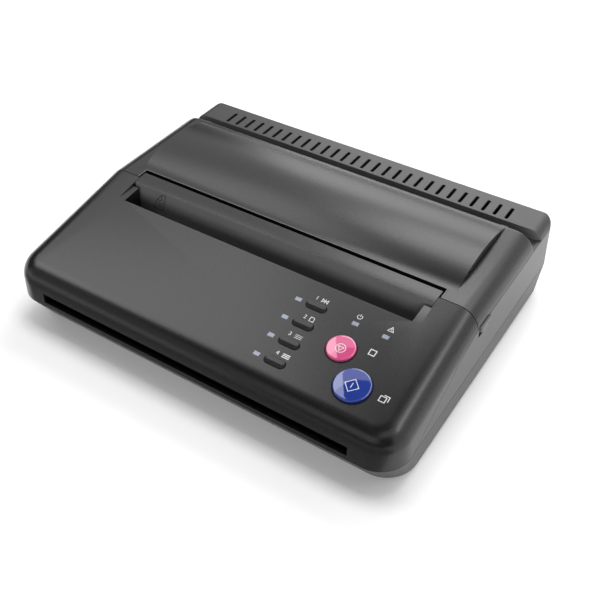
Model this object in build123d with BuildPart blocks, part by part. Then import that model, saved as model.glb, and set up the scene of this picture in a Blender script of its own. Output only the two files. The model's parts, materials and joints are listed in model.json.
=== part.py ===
from build123d import *
import math
import os

os.makedirs("parts", exist_ok=True)

# Thermal stencil copier: +X right, +Y rear, +Z up, origin on the floor under the middle.

# ---- Case ----
case_width = 280.0
case_depth = 220.0
case_height = 70.0            # floor to the crest of the arched cover
wall = 2.4
seam_gap = 0.5                # line between neighbouring casings
seat_gap = 0.2                # between a piece and what it sits in
reach = 400.0                 # longer than any cut has to be
foot_height = 4.0
rim_z = 22.0                  # top of the pan
pan_side_inset = 0.6
pan_front_inset = 11.0
pan_rear_inset = 8.0
front_corner_radius = 20.0
rear_corner_radius = 8.0
side_draft = 2.4              # how far the front and the sides lean in by the crest
arch_rise = 6.5               # crest above the shoulder
skirt_height = 12.5           # shoulder above the side seam
ridge_drop = 6.8              # vented ridge below the shoulder
shoulder_radius = 14.0
panel_tilt = 10.5             # control panel, degrees down to the front
panel_length = 78.4           # front face to the front edge of the document inlet
seam_behind_inlet = 22.1      # joint between front casing and cover
side_seam_start = 24.0        # behind the front face, where the side seam leaves the rim
side_seam_bend = 50.0
side_seam_bulge = 2.5

# ---- Cover ----
lip_set_back = 9.0            # front lip behind the joint with the front casing
cover_cut_gap = 1.2           # beside the document guide
lip_depth = 8.0
arch_set_back = 4.0           # foot of the arch behind the lip
arch_side_margin = 19.0
arch_end_chamfer = 2.6
cover_rear_fillet = 3.5
hinge_radius = 4.45
hinge_pin_radius = 2.0
hinge_fit = 0.05
lug_width = 6.0

# ---- Ridge, vents and groove ----
ridge_depth = 22.0
ridge_end_radius = 8.0
vent_pitch = 8.3
vent_width = 2.5
vent_length = 13.0
vent_inset = 13.5             # middle of the vents, from the rear face
vent_side_margin = 27.9
groove_width = 12.5           # between the cover and the ridge
groove_floor_drop = 1.2       # groove floor below the side seam
groove_floor = 2.0
stencil_slot_margin = 34.0
stencil_slot_length = 5.0

# ---- Document inlet and outlet ----
inlet_side_margin = 27.8
ledge_width = 5.2             # shallow step at each end of the inlet
ledge_drop = 1.5
ledge_length = 14.6
guide_strip_front = 17.3      # guide strip, measured from the inlet's front edge
guide_strip_rear = 28.2
guide_foot = 15.1
guide_depth = 22.0
outlet_side_margin = 28.5
outlet_height = 6.9
outlet_above_rim = 3.4

# ---- Keys and lamps, in the plane of the panel ----
key_side_margin = 86.5        # middle of the pill keys, from the right side
key_first_drop = 16.7         # first key below the inlet's front edge, along the panel
key_pitch = 14.7
key_count = 4
key_length = 12.8
key_width = 4.8
key_proud = 1.2
key_travel = 0.6
key_fit = 0.5
key_flange = 1.4
key_flange_thickness = 1.2
round_key_proud = 2.6         # crown of the dome above the panel
round_key_rim = 1.5           # where the dome starts
round_key_edge = 0.5
dome_steps = 4
round_key_fit = 0.6
round_key_flange = 1.4
stop_key_margin = 58.6
stop_key_drop = 35.6
stop_key_diameter = 17.4
copy_key_margin = 40.8
copy_key_drop = 53.8
copy_key_diameter = 21.8
lamp_beside_key = 12.3
lamp_length = 4.2
lamp_width = 2.8
lamp_proud = 0.2
power_lamp_margin = 60.4
error_lamp_margin = 40.9
board_thickness = 1.6
switch_height = 3.4
switch_size = 6.0

# ---- Drive ----
frame_side_margin = 18.0      # middle of each side frame, from the side of the case
frame_thickness = 2.0
platen_below_shoulder = 17.5
platen_radius = 8.0
platen_end_gap = 12.0         # roller's end to the middle of the side frame
platen_shaft_radius = 3.0
head_gap = 0.3
feed_ahead_of_inlet = 7.2
feed_radius = 6.0
feed_shaft_radius = 2.5
feed_sleeve_length = 30.0
feed_sleeve_count = 4
feed_sleeve_end_gap = 17.0
gear_module = 0.8
gear_width = 5.0
gear_frame_gap = 1.8          # side frame to the gear train, on the left
pinion_teeth = 12
platen_teeth = 30
feed_teeth = 30
centre_slack = 1.01           # idlers are this much larger than a straight train needs
mesh_clearance = 0.15
pressure_angle = 20.0
dedendum = 1.25
motor_radius = 16.5
motor_length = 22.0
motor_behind_inlet = 26.6
motor_shaft_radius = 1.5
stud_radius = 2.0
running_fit = 0.05
bush_wall = 2.0
bush_length = 4.4

# ---- Latches ----
latch_behind_seam = 9.5
latch_half = 7.4
latch_out = 5.2
latch_height = 6.8
latch_gap = 0.4

# ---- Inner parts ----
boss_radius = 4.0
screw_hole_radius = 1.25
screw_head_radius = 3.0
screw_head_height = 2.0
screw_length = 9.0
screw_side_margin = 40.0
screw_front_margin = 22.0
screw_rear_margin = 18.0
foot_radius = 7.0
foot_side_margin = 22.0
foot_front_margin = 28.0
foot_rear_margin = 24.0
rebate = 0.6                  # shadow line round the pan's rim
chute_thickness = 1.5
chute_end_gap = 10.0          # chute's end to the middle of the side frame
chute_rise = 0.8              # chute above the outlet's lower edge
chute_leg_margin = 18.0
chute_behind_inlet = 7.6
sleeve_proud = 1.0            # feed sleeves above the chute
sensor_width = 8.0
sensor_height = 9.0
sensor_end_gap = 14.0
sensor_below_panel = 6.0
sensor_seat = 5.3             # how far the inlet's front wall reaches down beside the sensor
sensor_glass_thickness = 1.2
sensor_paper_gap = 2.2
board_boss_height = 4.0
tie_bar_radius = 3.0
tie_bar_z = 16.0
tie_bar_ahead = 16.0          # tie bars ahead of and behind the platen
tie_bar_behind = 12.0
frame_ahead_of_feed = 10.8
frame_behind_hinge = 2.95
frame_shoulder_drop = 29.0    # straight top edge of the side frames, below the shoulder
motor_floor_gap = 0.6
head_end_gap = 14.0
head_width = 12.0
head_thickness = 3.0
sink_width = 22.0
sink_base = 1.6
sink_fin_height = 2.6
sink_fin_count = 6
bracket_thickness = 1.2
power_inlet_margin = 45.0     # middle of the power inlet, from the left side
power_inlet_width = 30.0
power_inlet_height = 22.0
power_inlet_depth = 19.0
power_inlet_drop = 1.35       # middle of the inlet, below the middle of the rear wall
mouth_width = 24.5
mouth_height = 15.5
mouth_depth = 16.0
switch_beside_inlet = 40.0
switch_body_width = 21.0
switch_body_height = 15.0
switch_body_depth = 16.0
rocker_width = 15.0
rocker_height = 9.0
rocker_angle = 7.0
rocker_gap = 0.6
rocker_sink = 0.5
rocker_axle_depth = 5.0
rocker_axle_radius = 1.0
inlet_pin_pitch = 7.0
inlet_pin_drop = 2.0
inlet_pin_width = 2.0
inlet_pin_height = 4.0
inlet_pin_length = 11.0
main_board_x = 10.0
main_board_width = 150.0
main_board_depth = 56.0
main_board_margin = 50.0      # middle of the board, from the front face
power_board_x = 30.0
power_board_width = 100.0
power_board_depth = 36.0
power_board_margin = 30.0     # middle of the board, from the rear face
board_post_inset = 5.0
board_chips = (               # place on the main board, then width, depth and height
    (-20.0, -2.0, 18.0, 18.0, 2.0),
    (14.0, -6.0, 10.0, 14.0, 2.0),
    (52.0, 15.0, 30.0, 6.0, 7.0),
)
transformer_place = (28.0, 0.0)
transformer_width = 26.0
transformer_depth = 24.0
transformer_height = 20.0
capacitor_places = ((-30.0, -8.0), (-30.0, 8.0), (-8.0, 8.0))
capacitor_radius = 6.0
capacitor_height = 18.0

# ---- Worked out from the values above ----
half_x = case_width / 2
front_y = -case_depth / 2
rear_y = case_depth / 2
pan_floor_z = foot_height
inner_floor_z = pan_floor_z + wall
shoulder_z = case_height - arch_rise
seam_z = shoulder_z - skirt_height
ridge_z = shoulder_z - ridge_drop
housing_top_z = seam_z - seam_gap / 2
cover_skirt_z = seam_z + seam_gap / 2
groove_z = seam_z - groove_floor_drop
tilt = math.radians(panel_tilt)
draft_angle = math.degrees(math.atan(side_draft / (case_height - rim_z)))
inlet_front_y = front_y + panel_length
front_seam_y = inlet_front_y + seam_behind_inlet
guide_strip_front_y = inlet_front_y + guide_strip_front
guide_strip_rear_y = inlet_front_y + guide_strip_rear
guide_foot_y = inlet_front_y + guide_foot
ledge_rear_y = inlet_front_y + ledge_length
cover_lip_y = front_seam_y + lip_set_back
ridge_front_y = rear_y - ridge_depth
cover_rear_y = ridge_front_y - groove_width
arch_front_y = cover_lip_y + arch_set_back
arch_rear_y = cover_rear_y - cover_rear_fillet
arch_mid_y = (arch_front_y + arch_rear_y) / 2
arch_half_chord = (arch_rear_y - arch_front_y) / 2
arch_half_width = half_x - arch_side_margin
inlet_half = half_x - inlet_side_margin
inlet_clear_half = inlet_half - ledge_width
guide_half = inlet_half - seat_gap
cover_cut_half = guide_half + cover_cut_gap
outlet_half = half_x - outlet_side_margin
outlet_bottom_z = rim_z + outlet_above_rim
stencil_slot_half = half_x - stencil_slot_margin
vent_count = int((case_width - 2 * vent_side_margin) / vent_pitch) + 1
key_x = half_x - key_side_margin
lamp_x = key_x - lamp_beside_key
hinge_y = cover_rear_y - hinge_radius
hinge_z = cover_skirt_z + hinge_radius
frame_x = half_x - frame_side_margin
gear_x = frame_x + frame_thickness / 2 + gear_frame_gap + gear_width / 2
platen_half = frame_x - platen_end_gap
platen_y = arch_mid_y
platen_z = shoulder_z - platen_below_shoulder
feed_y = inlet_front_y - feed_ahead_of_inlet
motor_y = inlet_front_y + motor_behind_inlet
latch_y = front_seam_y + latch_behind_seam
power_inlet_x = power_inlet_margin - half_x
power_inlet_z = (rim_z + ridge_z) / 2 - power_inlet_drop
switch_x = power_inlet_x + switch_beside_inlet
main_board_place = (main_board_x, front_y + main_board_margin)
power_board_place = (power_board_x, rear_y - power_board_margin)


def panel_z(y):
    """Height of the control panel's surface at y."""
    return shoulder_z + (y - front_seam_y) * math.tan(tilt)


sensor_rear_y = inlet_front_y - wall - seat_gap
sensor_top_z = panel_z(sensor_rear_y - sensor_width) - sensor_below_panel
well_z = sensor_top_z - sensor_seat


# The panel's own plane: origin at the middle of the inlet's front edge, local +Y up the slope.
panel_plane = Plane(
    origin=(0, inlet_front_y, panel_z(inlet_front_y)),
    x_dir=(1, 0, 0),
    z_dir=(0, -math.sin(tilt), math.cos(tilt)),
)


def save(part, label):
    """Name a finished piece and write it as its own STEP file."""
    part.label = label
    export_step(part, "parts/" + label + ".step")


def plan_outline(side, front, rear, front_radius, rear_radius):
    """Plan section of the case, with its own front and rear corner radii."""
    with BuildSketch() as outline:
        with Locations((0, (front + rear) / 2)):
            Rectangle(2 * side, rear - front)
        fillet(outline.vertices().group_by(Axis.Y)[0], front_radius)
        fillet(outline.vertices().group_by(Axis.Y)[-1], rear_radius)
    return outline.sketch


def case_form(inset):
    """Everything above the rim as one block with drafted front and sides, moved in by inset."""
    rear = rear_y - inset
    with BuildPart() as form:
        with BuildSketch(Plane.XY.offset(rim_z)) as base:
            with Locations((0, front_y + inset)):
                Rectangle(2 * (half_x - inset), 2 * case_depth, align=(Align.CENTER, Align.MIN))
            fillet(base.vertices().group_by(Axis.Y)[0], front_corner_radius - inset)
        extrude(amount=case_height - rim_z, taper=draft_angle)
        with Locations((0, rear, 0)):
            Box(reach, reach, reach, align=(Align.CENTER, Align.MIN, Align.CENTER), mode=Mode.SUBTRACT)
        corners = form.faces().sort_by(Axis.Y)[-1].edges().sort_by(Axis.X)
        fillet((corners[0], corners[-1]), rear_corner_radius - inset)
    return form.part


def side_slab(*points):
    """A profile in the YZ plane, as wide as any cut has to be."""
    with BuildPart() as slab:
        with BuildSketch(Plane.YZ):
            Polygon(*points, align=None)
        extrude(amount=reach, both=True)
    return slab.part


def front_form(inset):
    """Front casing form under the tilted panel, its outer faces moved in by inset."""
    seam_y = front_seam_y - seam_gap / 2 - inset
    top_rear = panel_z(seam_y) - inset / math.cos(tilt)
    top_front = panel_z(front_y) - inset / math.cos(tilt)
    below = side_slab(
        (front_y, rim_z - reach),
        (seam_y, rim_z - reach),
        (seam_y, top_rear),
        (front_y, top_front),
    )
    with BuildPart() as form:
        add(case_form(inset))
        add(below, mode=Mode.INTERSECT)
        panel = form.faces().sort_by(Axis.Z)[-1]
        fillet(panel.edges().sort_by(Axis.Y)[:-1], shoulder_radius - inset)
    return form.part


def arch_form(inset):
    """Barrel whose crown is the cover's arch, turned about the arch's axis, with chamfered ends."""
    arch_radius = (arch_half_chord**2 + arch_rise**2) / (2 * arch_rise)
    axis_z = case_height - arch_radius
    with BuildPart() as barrel:
        with BuildSketch(Plane.XY.offset(axis_z)) as section:
            with Locations((0, arch_mid_y)):
                Rectangle(
                    2 * (arch_half_width - inset),
                    arch_radius - inset,
                    align=(Align.CENTER, Align.MIN),
                )
            end_chamfer = arch_end_chamfer - inset * (2 - math.sqrt(2))
            chamfer(section.vertices().group_by(Axis.Y)[-1], end_chamfer)
        revolve(axis=Axis((0, arch_mid_y, axis_z), (1, 0, 0)))
    return barrel.part


def cover_form(inset):
    """Top cover form: level cheeks, an arched middle and a rolled rear edge on the hinge axis."""
    top = shoulder_z - inset
    low = cover_skirt_z
    front = front_seam_y + seam_gap / 2 + inset
    lip = cover_lip_y + inset
    rear = cover_rear_y - inset
    cut_half = cover_cut_half + inset
    with BuildPart() as form:
        add(case_form(inset))
        add(side_slab((front, rim_z), (rear, rim_z), (rear, top), (front, top)), mode=Mode.INTERSECT)
        roof = form.faces().sort_by(Axis.Z)[-1]
        sides = roof.edges().sort_by(Axis.X)
        fillet((sides[0], sides[-1]), shoulder_radius - inset)
        fillet(form.faces().sort_by(Axis.Y)[-1].edges().sort_by(Axis.Z)[-1], cover_rear_fillet - inset)
        add(side_slab((front, low), (reach, low), (reach, reach), (front, reach)), mode=Mode.INTERSECT)
        add(arch_form(inset) & side_slab((lip, low), (arch_rear_y, low), (arch_rear_y, reach), (lip, reach)))
        with Locations((0, lip - reach / 2, low)):
            Box(2 * cut_half, reach, reach, mode=Mode.SUBTRACT)
    return form.part


def ridge_form(inset):
    """Vented rear ridge, with rounded ends."""
    top = ridge_z - inset
    lean = side_draft * (ridge_z - rim_z) / (case_height - rim_z)
    front = ridge_front_y + inset
    with BuildPart() as form:
        add(case_form(inset))
        add(side_slab((front, rim_z), (reach, rim_z), (reach, top), (front, top)), mode=Mode.INTERSECT)
        with BuildSketch(Plane.XZ) as ends:
            base = half_x - inset
            Polygon((-base, rim_z), (base, rim_z), (base - lean, top), (lean - base, top), align=None)
            fillet(ends.vertices().group_by(Axis.Y)[-1], ridge_end_radius - inset)
        extrude(amount=reach, both=True, mode=Mode.INTERSECT)
    return form.part


def seam_slab(offset):
    """Region above the side seam, as seen from the side: it climbs from the rim to the cover."""
    with BuildPart() as slab:
        with BuildSketch(Plane.YZ):
            with BuildLine():
                low = (front_y + side_seam_start - offset, rim_z)
                share = (side_seam_bend - side_seam_start) / (front_seam_y - front_y - side_seam_start)
                middle_z = rim_z + (seam_z - rim_z) * share + side_seam_bulge
                mid = (front_y + side_seam_bend - offset / 2, middle_z + offset / 2)
                high = (front_seam_y, seam_z + offset)
                ThreePointArc(low, mid, high)
                corners = ((reach, seam_z + offset), (reach, reach), (-reach, reach), (-reach, rim_z))
                Polyline(high, *corners, low)
            make_face()
        extrude(amount=reach, both=True)
    return slab.part


def pan_form(inset):
    """Shallow tub, undercut at the front and the rear, its outer faces moved in by inset."""
    floor_z = pan_floor_z + inset
    share = (rim_z - floor_z) / (rim_z - pan_floor_z)
    with BuildPart() as form:
        for height, lean in ((floor_z, share), (rim_z, 0)):
            with BuildSketch(Plane.XY.offset(height)):
                add(
                    plan_outline(
                        half_x - pan_side_inset * lean - inset,
                        front_y + pan_front_inset * lean + inset,
                        rear_y - pan_rear_inset * lean - inset,
                        front_corner_radius - inset,
                        rear_corner_radius - inset,
                    )
                )
        loft(ruled=True)
    return form.part


# ---- Bottom pan ----
screw_rows = (front_y + screw_front_margin, rear_y - screw_rear_margin)
screw_places = [(side * (half_x - screw_side_margin), y) for side in (-1, 1) for y in screw_rows]
boards = (
    ("main_board", main_board_place, main_board_width, main_board_depth),
    ("power_board", power_board_place, power_board_width, power_board_depth),
)
with BuildPart() as bottom_pan:
    add(pan_form(0))
    add(pan_form(wall), mode=Mode.SUBTRACT)
    with BuildSketch(Plane.XY.offset(rim_z)):
        add(plan_outline(half_x, front_y, rear_y, front_corner_radius, rear_corner_radius))
        offset(amount=-rebate, mode=Mode.SUBTRACT)
    extrude(amount=-rebate, mode=Mode.SUBTRACT)
    with BuildSketch(Plane.XY.offset(inner_floor_z)):
        with Locations(*screw_places):
            Circle(boss_radius)
        for label, place, width, depth in boards:
            with Locations(place):
                with GridLocations(width - 2 * board_post_inset, depth - 2 * board_post_inset, 2, 2):
                    Circle(boss_radius / 2)
    extrude(amount=board_boss_height)
    with Locations(Plane.XY.offset(pan_floor_z)):
        with Locations(*screw_places):
            Cylinder(screw_hole_radius, reach, mode=Mode.SUBTRACT)
            Cylinder(
                screw_head_radius + seat_gap,
                screw_head_height,
                align=(Align.CENTER, Align.CENTER, Align.MIN),
                mode=Mode.SUBTRACT,
            )
save(bottom_pan.part, "bottom_pan")

# ---- Upper housing: side walls, rear wall, vented ridge and the groove behind the cover ----
groove_front_y = hinge_y + hinge_radius + seam_gap
shelf_z = groove_z - groove_floor
with BuildPart() as upper_housing:
    add(case_form(0))
    below_top = side_slab((-reach, rim_z), (reach, rim_z), (reach, housing_top_z), (-reach, housing_top_z))
    add(below_top, mode=Mode.INTERSECT)
    add(ridge_form(0))
    add(case_form(wall), mode=Mode.SUBTRACT)
    add(ridge_form(0))
    add(ridge_form(wall), mode=Mode.SUBTRACT)
    with BuildSketch(Plane.XY.offset(shelf_z)):
        depth = ridge_front_y + wall - groove_front_y
        width = 2 * (half_x - side_draft)
        with Locations((0, groove_front_y)):
            Rectangle(width, depth, align=(Align.CENTER, Align.MIN))
            Rectangle(
                2 * stencil_slot_half,
                stencil_slot_length,
                align=(Align.CENTER, Align.MIN),
                mode=Mode.SUBTRACT,
            )
    extrude(amount=groove_floor)
    with Locations((0, ridge_front_y, shelf_z)):
        Box(
            2 * (half_x - side_draft - wall),
            wall,
            shelf_z - rim_z + wall,
            align=(Align.CENTER, Align.MIN, Align.MAX),
            mode=Mode.SUBTRACT,
        )
    ahead = side_slab((-reach, 0), (front_seam_y, 0), (front_seam_y, reach), (-reach, reach))
    add(seam_slab(0) & ahead, mode=Mode.SUBTRACT)
    with BuildSketch(Plane.XY.offset(ridge_z)) as vents:
        with Locations((0, rear_y - vent_inset)):
            with GridLocations(vent_pitch, vent_pitch, vent_count, 1):
                Rectangle(vent_width, vent_length)
        chamfer(vents.vertices(), vent_width / 4)
    extrude(amount=-wall, mode=Mode.SUBTRACT)
    with BuildSketch(Plane.XZ.offset(-rear_y)):
        with Locations((power_inlet_x, power_inlet_z)):
            Rectangle(power_inlet_width + 2 * seat_gap, power_inlet_height + 2 * seat_gap)
        with Locations((switch_x, power_inlet_z)):
            Rectangle(switch_body_width + 2 * seat_gap, switch_body_height + 2 * seat_gap)
    extrude(amount=wall, mode=Mode.SUBTRACT)
    with Locations((0, latch_y, housing_top_z)):
        Box(
            case_width,
            2 * (latch_half + latch_gap),
            latch_height + latch_gap,
            align=(Align.CENTER, Align.CENTER, Align.MAX),
            mode=Mode.SUBTRACT,
        )
save(upper_housing.part, "upper_housing")

# ---- Keys and lamps on the panel ----
key_places = [(key_x, -key_first_drop - row * key_pitch) for row in range(key_count)]
lamp_places = [(lamp_x, y) for x, y in key_places]
lamp_places += [(half_x - margin, -key_first_drop) for margin in (power_lamp_margin, error_lamp_margin)]
round_keys = {
    "stop_button": (half_x - stop_key_margin, -stop_key_drop, stop_key_diameter / 2),
    "copy_button": (half_x - copy_key_margin, -copy_key_drop, copy_key_diameter / 2),
}
switch_top = -wall - seat_gap - key_flange_thickness - key_travel - seat_gap
board_top = switch_top - switch_height
board_front = -copy_key_drop - copy_key_diameter / 2
board_rear = -key_first_drop + switch_size / 2 + seat_gap
board_left = lamp_x - lamp_length
board_right = half_x - copy_key_margin + copy_key_diameter / 2 + boss_radius
post_inset = boss_radius / 2
post_rows = (board_front, board_rear - post_inset)
post_places = [(x, y) for x in (board_left, board_right - post_inset) for y in post_rows]

# ---- Front casing with the control panel ----
with BuildPart() as front_cover:
    add(front_form(0))
    add(front_form(wall), mode=Mode.SUBTRACT)
    add(seam_slab(seam_gap), mode=Mode.INTERSECT)
    rear_cut = side_slab(
        (front_seam_y - 2 * wall, 0),
        (front_seam_y, 0),
        (front_seam_y, cover_skirt_z),
        (front_seam_y - 2 * wall, cover_skirt_z),
    )
    add(rear_cut & case_form(wall), mode=Mode.SUBTRACT)
    well_walls = side_slab(
        (inlet_front_y - wall, well_z),
        (ledge_rear_y, well_z),
        (ledge_rear_y, panel_z(ledge_rear_y) - wall / 2),
        (inlet_front_y - wall, panel_z(inlet_front_y - wall) - wall / 2),
    )
    add(well_walls & Box(2 * (inlet_clear_half + wall), reach, reach, mode=Mode.PRIVATE))
    with Locations((0, inlet_front_y, 0)):
        Box(
            2 * inlet_clear_half,
            reach,
            reach,
            align=(Align.CENTER, Align.MIN, Align.CENTER),
            mode=Mode.SUBTRACT,
        )
    with Locations((0, ledge_rear_y, 0)):
        Box(2 * inlet_half, reach, reach, align=(Align.CENTER, Align.MIN, Align.CENTER), mode=Mode.SUBTRACT)
    ledge_step = side_slab(
        (inlet_front_y, panel_z(inlet_front_y)),
        (ledge_rear_y, panel_z(ledge_rear_y) - ledge_drop),
        (ledge_rear_y, reach),
        (inlet_front_y, reach),
    )
    add(ledge_step & Box(2 * inlet_half, reach, reach, mode=Mode.PRIVATE), mode=Mode.SUBTRACT)
    with Locations((0, front_y, outlet_bottom_z)):
        Box(
            2 * outlet_half,
            4 * wall,
            outlet_height,
            align=(Align.CENTER, Align.CENTER, Align.MIN),
            mode=Mode.SUBTRACT,
        )
    with BuildSketch(panel_plane):
        with Locations(*key_places):
            SlotOverall(key_length + 2 * key_fit, key_width + 2 * key_fit)
        with Locations(*lamp_places):
            Rectangle(lamp_length, lamp_width)
        for x, y, radius in round_keys.values():
            with Locations((x, y)):
                Circle(radius + round_key_fit)
    extrude(amount=-2 * wall, mode=Mode.SUBTRACT)
    with BuildSketch(panel_plane.offset(board_top)):
        with Locations(*post_places):
            Circle(boss_radius / 2)
    extrude(amount=-board_top - wall / 2)
save(front_cover.part, "front_cover")


def dome_points(radius):
    """Section of the shallow dome on a round button, from its edge to its crown."""
    span = radius - round_key_edge
    rise = round_key_proud - round_key_rim
    shares = [1 - step / dome_steps for step in range(dome_steps + 1)]
    return [(span * share, round_key_proud - rise * share**2) for share in shares]


def key_cap(profile, flange, height, label):
    """A key in the panel's plane: its cap, and the flange that keeps it under the panel."""
    with BuildPart() as cap:
        with BuildSketch(panel_plane.offset(-wall - seat_gap)):
            add(profile)
        extrude(amount=wall + seat_gap + height)
        crown = cap.faces().sort_by(Axis.Z)[-1]
        chamfer(crown.edges(), height / 2)
        with BuildSketch(panel_plane.offset(-wall - seat_gap)):
            add(flange)
        extrude(amount=-key_flange_thickness)
    save(cap.part, label)


for number, place in enumerate(key_places, start=1):
    with BuildSketch() as pill:
        with Locations(place):
            SlotOverall(key_length, key_width)
    with BuildSketch() as pill_flange:
        with Locations(place):
            SlotOverall(key_length + 2 * key_flange, key_width + 2 * key_flange)
    key_cap(pill.sketch, pill_flange.sketch, key_proud, f"key_{number}")

for label, (x, y, radius) in round_keys.items():
    section = Plane(
        origin=panel_plane.from_local_coords((x, y, 0)),
        x_dir=panel_plane.x_dir,
        z_dir=-panel_plane.y_dir,
    )
    with BuildPart() as button:
        with BuildSketch(section):
            with BuildLine():
                base = -wall - seat_gap
                Polyline(
                    (0, round_key_proud),
                    (0, base - key_flange_thickness),
                    (radius + round_key_flange, base - key_flange_thickness),
                    (radius + round_key_flange, base),
                    (radius, base),
                    (radius, round_key_rim - round_key_edge),
                    *dome_points(radius),
                )
            make_face()
        revolve(axis=Axis(section.origin, panel_plane.z_dir))
    save(button.part, label)

with BuildPart() as indicator_windows:
    with BuildSketch(panel_plane.offset(-wall)):
        with Locations(*lamp_places):
            Rectangle(lamp_length, lamp_width)
    extrude(amount=wall + lamp_proud)
save(indicator_windows.part, "indicator_windows")

with BuildPart() as key_board:
    with BuildSketch(panel_plane.offset(board_top)):
        with Locations((board_left - post_inset, board_front - post_inset)):
            Rectangle(
                board_right - board_left + 2 * post_inset,
                board_rear - board_front + post_inset,
                align=(Align.MIN, Align.MIN),
            )
    extrude(amount=-board_thickness)
save(key_board.part, "key_board")

with BuildPart() as key_switches:
    with BuildSketch(panel_plane.offset(board_top)):
        with Locations(*key_places, *[(x, y) for x, y, radius in round_keys.values()]):
            Rectangle(switch_size, switch_size)
    extrude(amount=switch_height)
save(key_switches.part, "key_switches")

with BuildPart() as indicator_leds:
    with BuildSketch(panel_plane.offset(board_top)):
        with Locations(*lamp_places):
            Circle(lamp_width / 2)
    extrude(amount=-board_top - wall - seat_gap)
save(indicator_leds.part, "indicator_leds")

# ---- Document guide ----
with BuildPart() as document_guide:
    outer = [
        (guide_strip_front_y, panel_z(guide_strip_front_y)),
        (front_seam_y, shoulder_z),
        (guide_strip_rear_y, shoulder_z),
        (guide_strip_rear_y, shoulder_z - lip_depth),
        (guide_foot_y + wall, shoulder_z - guide_depth),
        (guide_foot_y, shoulder_z - guide_depth),
    ]
    inner = [
        (guide_strip_front_y + wall, panel_z(guide_strip_front_y) - wall),
        (guide_strip_rear_y - wall, shoulder_z - wall),
        (guide_strip_rear_y - wall, shoulder_z - reach),
        (guide_foot_y + wall, shoulder_z - reach),
        (guide_foot_y + wall, shoulder_z - guide_depth),
    ]
    with BuildSketch(Plane.YZ):
        Polygon(*outer, align=None)
    extrude(amount=guide_half, both=True)
    with BuildSketch(Plane.YZ):
        Polygon(*inner, align=None)
    extrude(amount=guide_half - wall, both=True, mode=Mode.SUBTRACT)
save(document_guide.part, "document_guide")

# ---- Hinged top cover ----
lug_inner_x = frame_x - frame_thickness / 2 - 2 * seat_gap - lug_width
platen_top = platen_z + platen_radius
head_z = platen_top + head_gap
head_half = frame_x - head_end_gap
sink_z = head_z + head_thickness
bracket_z = sink_z + sink_base + sink_fin_height
bracket_half = head_half + boss_radius
boss_x = head_half - 2 * boss_radius
boss_y = sink_width / 2 - boss_radius
bracket_bosses = [(sx * boss_x, platen_y + sy * boss_y) for sx in (-1, 1) for sy in (-1, 1)]
with BuildPart() as top_cover:
    add(cover_form(0))
    add(cover_form(wall), mode=Mode.SUBTRACT)
    with BuildSketch(Plane.YZ):
        with Locations((hinge_y, hinge_z)):
            Rectangle(reach, reach, align=(Align.MIN, Align.MAX))
            Circle(hinge_radius, mode=Mode.SUBTRACT)
    extrude(amount=reach, both=True, mode=Mode.SUBTRACT)
    with Locations((0, cover_lip_y, shoulder_z - lip_depth)):
        Box(
            2 * cover_cut_half,
            4 * wall,
            reach,
            align=(Align.CENTER, Align.CENTER, Align.MAX),
            mode=Mode.SUBTRACT,
        )
    for side in (-1, 1):
        with BuildSketch(Plane.YZ.offset(side * (lug_inner_x + lug_width / 2))):
            with Locations((hinge_y, hinge_z)):
                Circle(hinge_radius)
                lug_height = shoulder_z - wall / 2 - hinge_z
                Rectangle(2 * hinge_radius, lug_height, align=(Align.CENTER, Align.MIN))
        extrude(amount=lug_width / 2, both=True)
        with Locations((side * frame_x, hinge_y, 0)):
            Box(
                frame_thickness + 4 * seat_gap,
                2 * (hinge_radius + 2 * seat_gap),
                2 * (hinge_z + hinge_radius + 2 * seat_gap),
                mode=Mode.SUBTRACT,
            )
    with BuildSketch(Plane.YZ):
        with Locations((hinge_y, hinge_z)):
            Circle(hinge_pin_radius + hinge_fit)
    extrude(amount=lug_inner_x + lug_width + seat_gap, both=True, mode=Mode.SUBTRACT)
    with BuildSketch(Plane.XY.offset(bracket_z + bracket_thickness)):
        with Locations(*bracket_bosses):
            Circle(boss_radius / 2)
    extrude(until=Until.NEXT)
save(top_cover.part, "top_cover")

with BuildPart() as hinge_pins:
    for side in (-1, 1):
        with BuildSketch(Plane.YZ.offset(side * lug_inner_x)):
            with Locations((hinge_y, hinge_z)):
                Circle(hinge_pin_radius)
        extrude(amount=side * (frame_x + frame_thickness / 2 - lug_inner_x))
save(hinge_pins.part, "hinge_pins")

# ---- Thermal head, carried by the cover ----
with BuildPart() as thermal_head:
    with Locations((0, platen_y, head_z)):
        Box(2 * head_half, head_width, head_thickness, align=(Align.CENTER, Align.CENTER, Align.MIN))
save(thermal_head.part, "thermal_head")

with BuildPart() as head_heat_sink:
    with Locations((0, platen_y, sink_z)):
        Box(2 * head_half, sink_width, sink_base, align=(Align.CENTER, Align.CENTER, Align.MIN))
    fin_pitch = (sink_width - sink_base) / (sink_fin_count - 1)
    with Locations((0, platen_y, sink_z + sink_base)):
        with GridLocations(fin_pitch, fin_pitch, 1, sink_fin_count):
            Box(2 * head_half, sink_base, sink_fin_height, align=(Align.CENTER, Align.CENTER, Align.MIN))
save(head_heat_sink.part, "head_heat_sink")

with BuildPart() as head_bracket:
    with Locations((0, platen_y, bracket_z)):
        Box(2 * bracket_half, sink_width, bracket_thickness, align=(Align.CENTER, Align.CENTER, Align.MIN))
save(head_bracket.part, "head_bracket")


# ---- Gear train: worked out from the shaft places, all in the plane of the gears ----
def chute_z(y):
    """Upper surface of the exit chute at y."""
    return outlet_bottom_z + chute_rise + (y - front_y) * chute_slope


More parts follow.
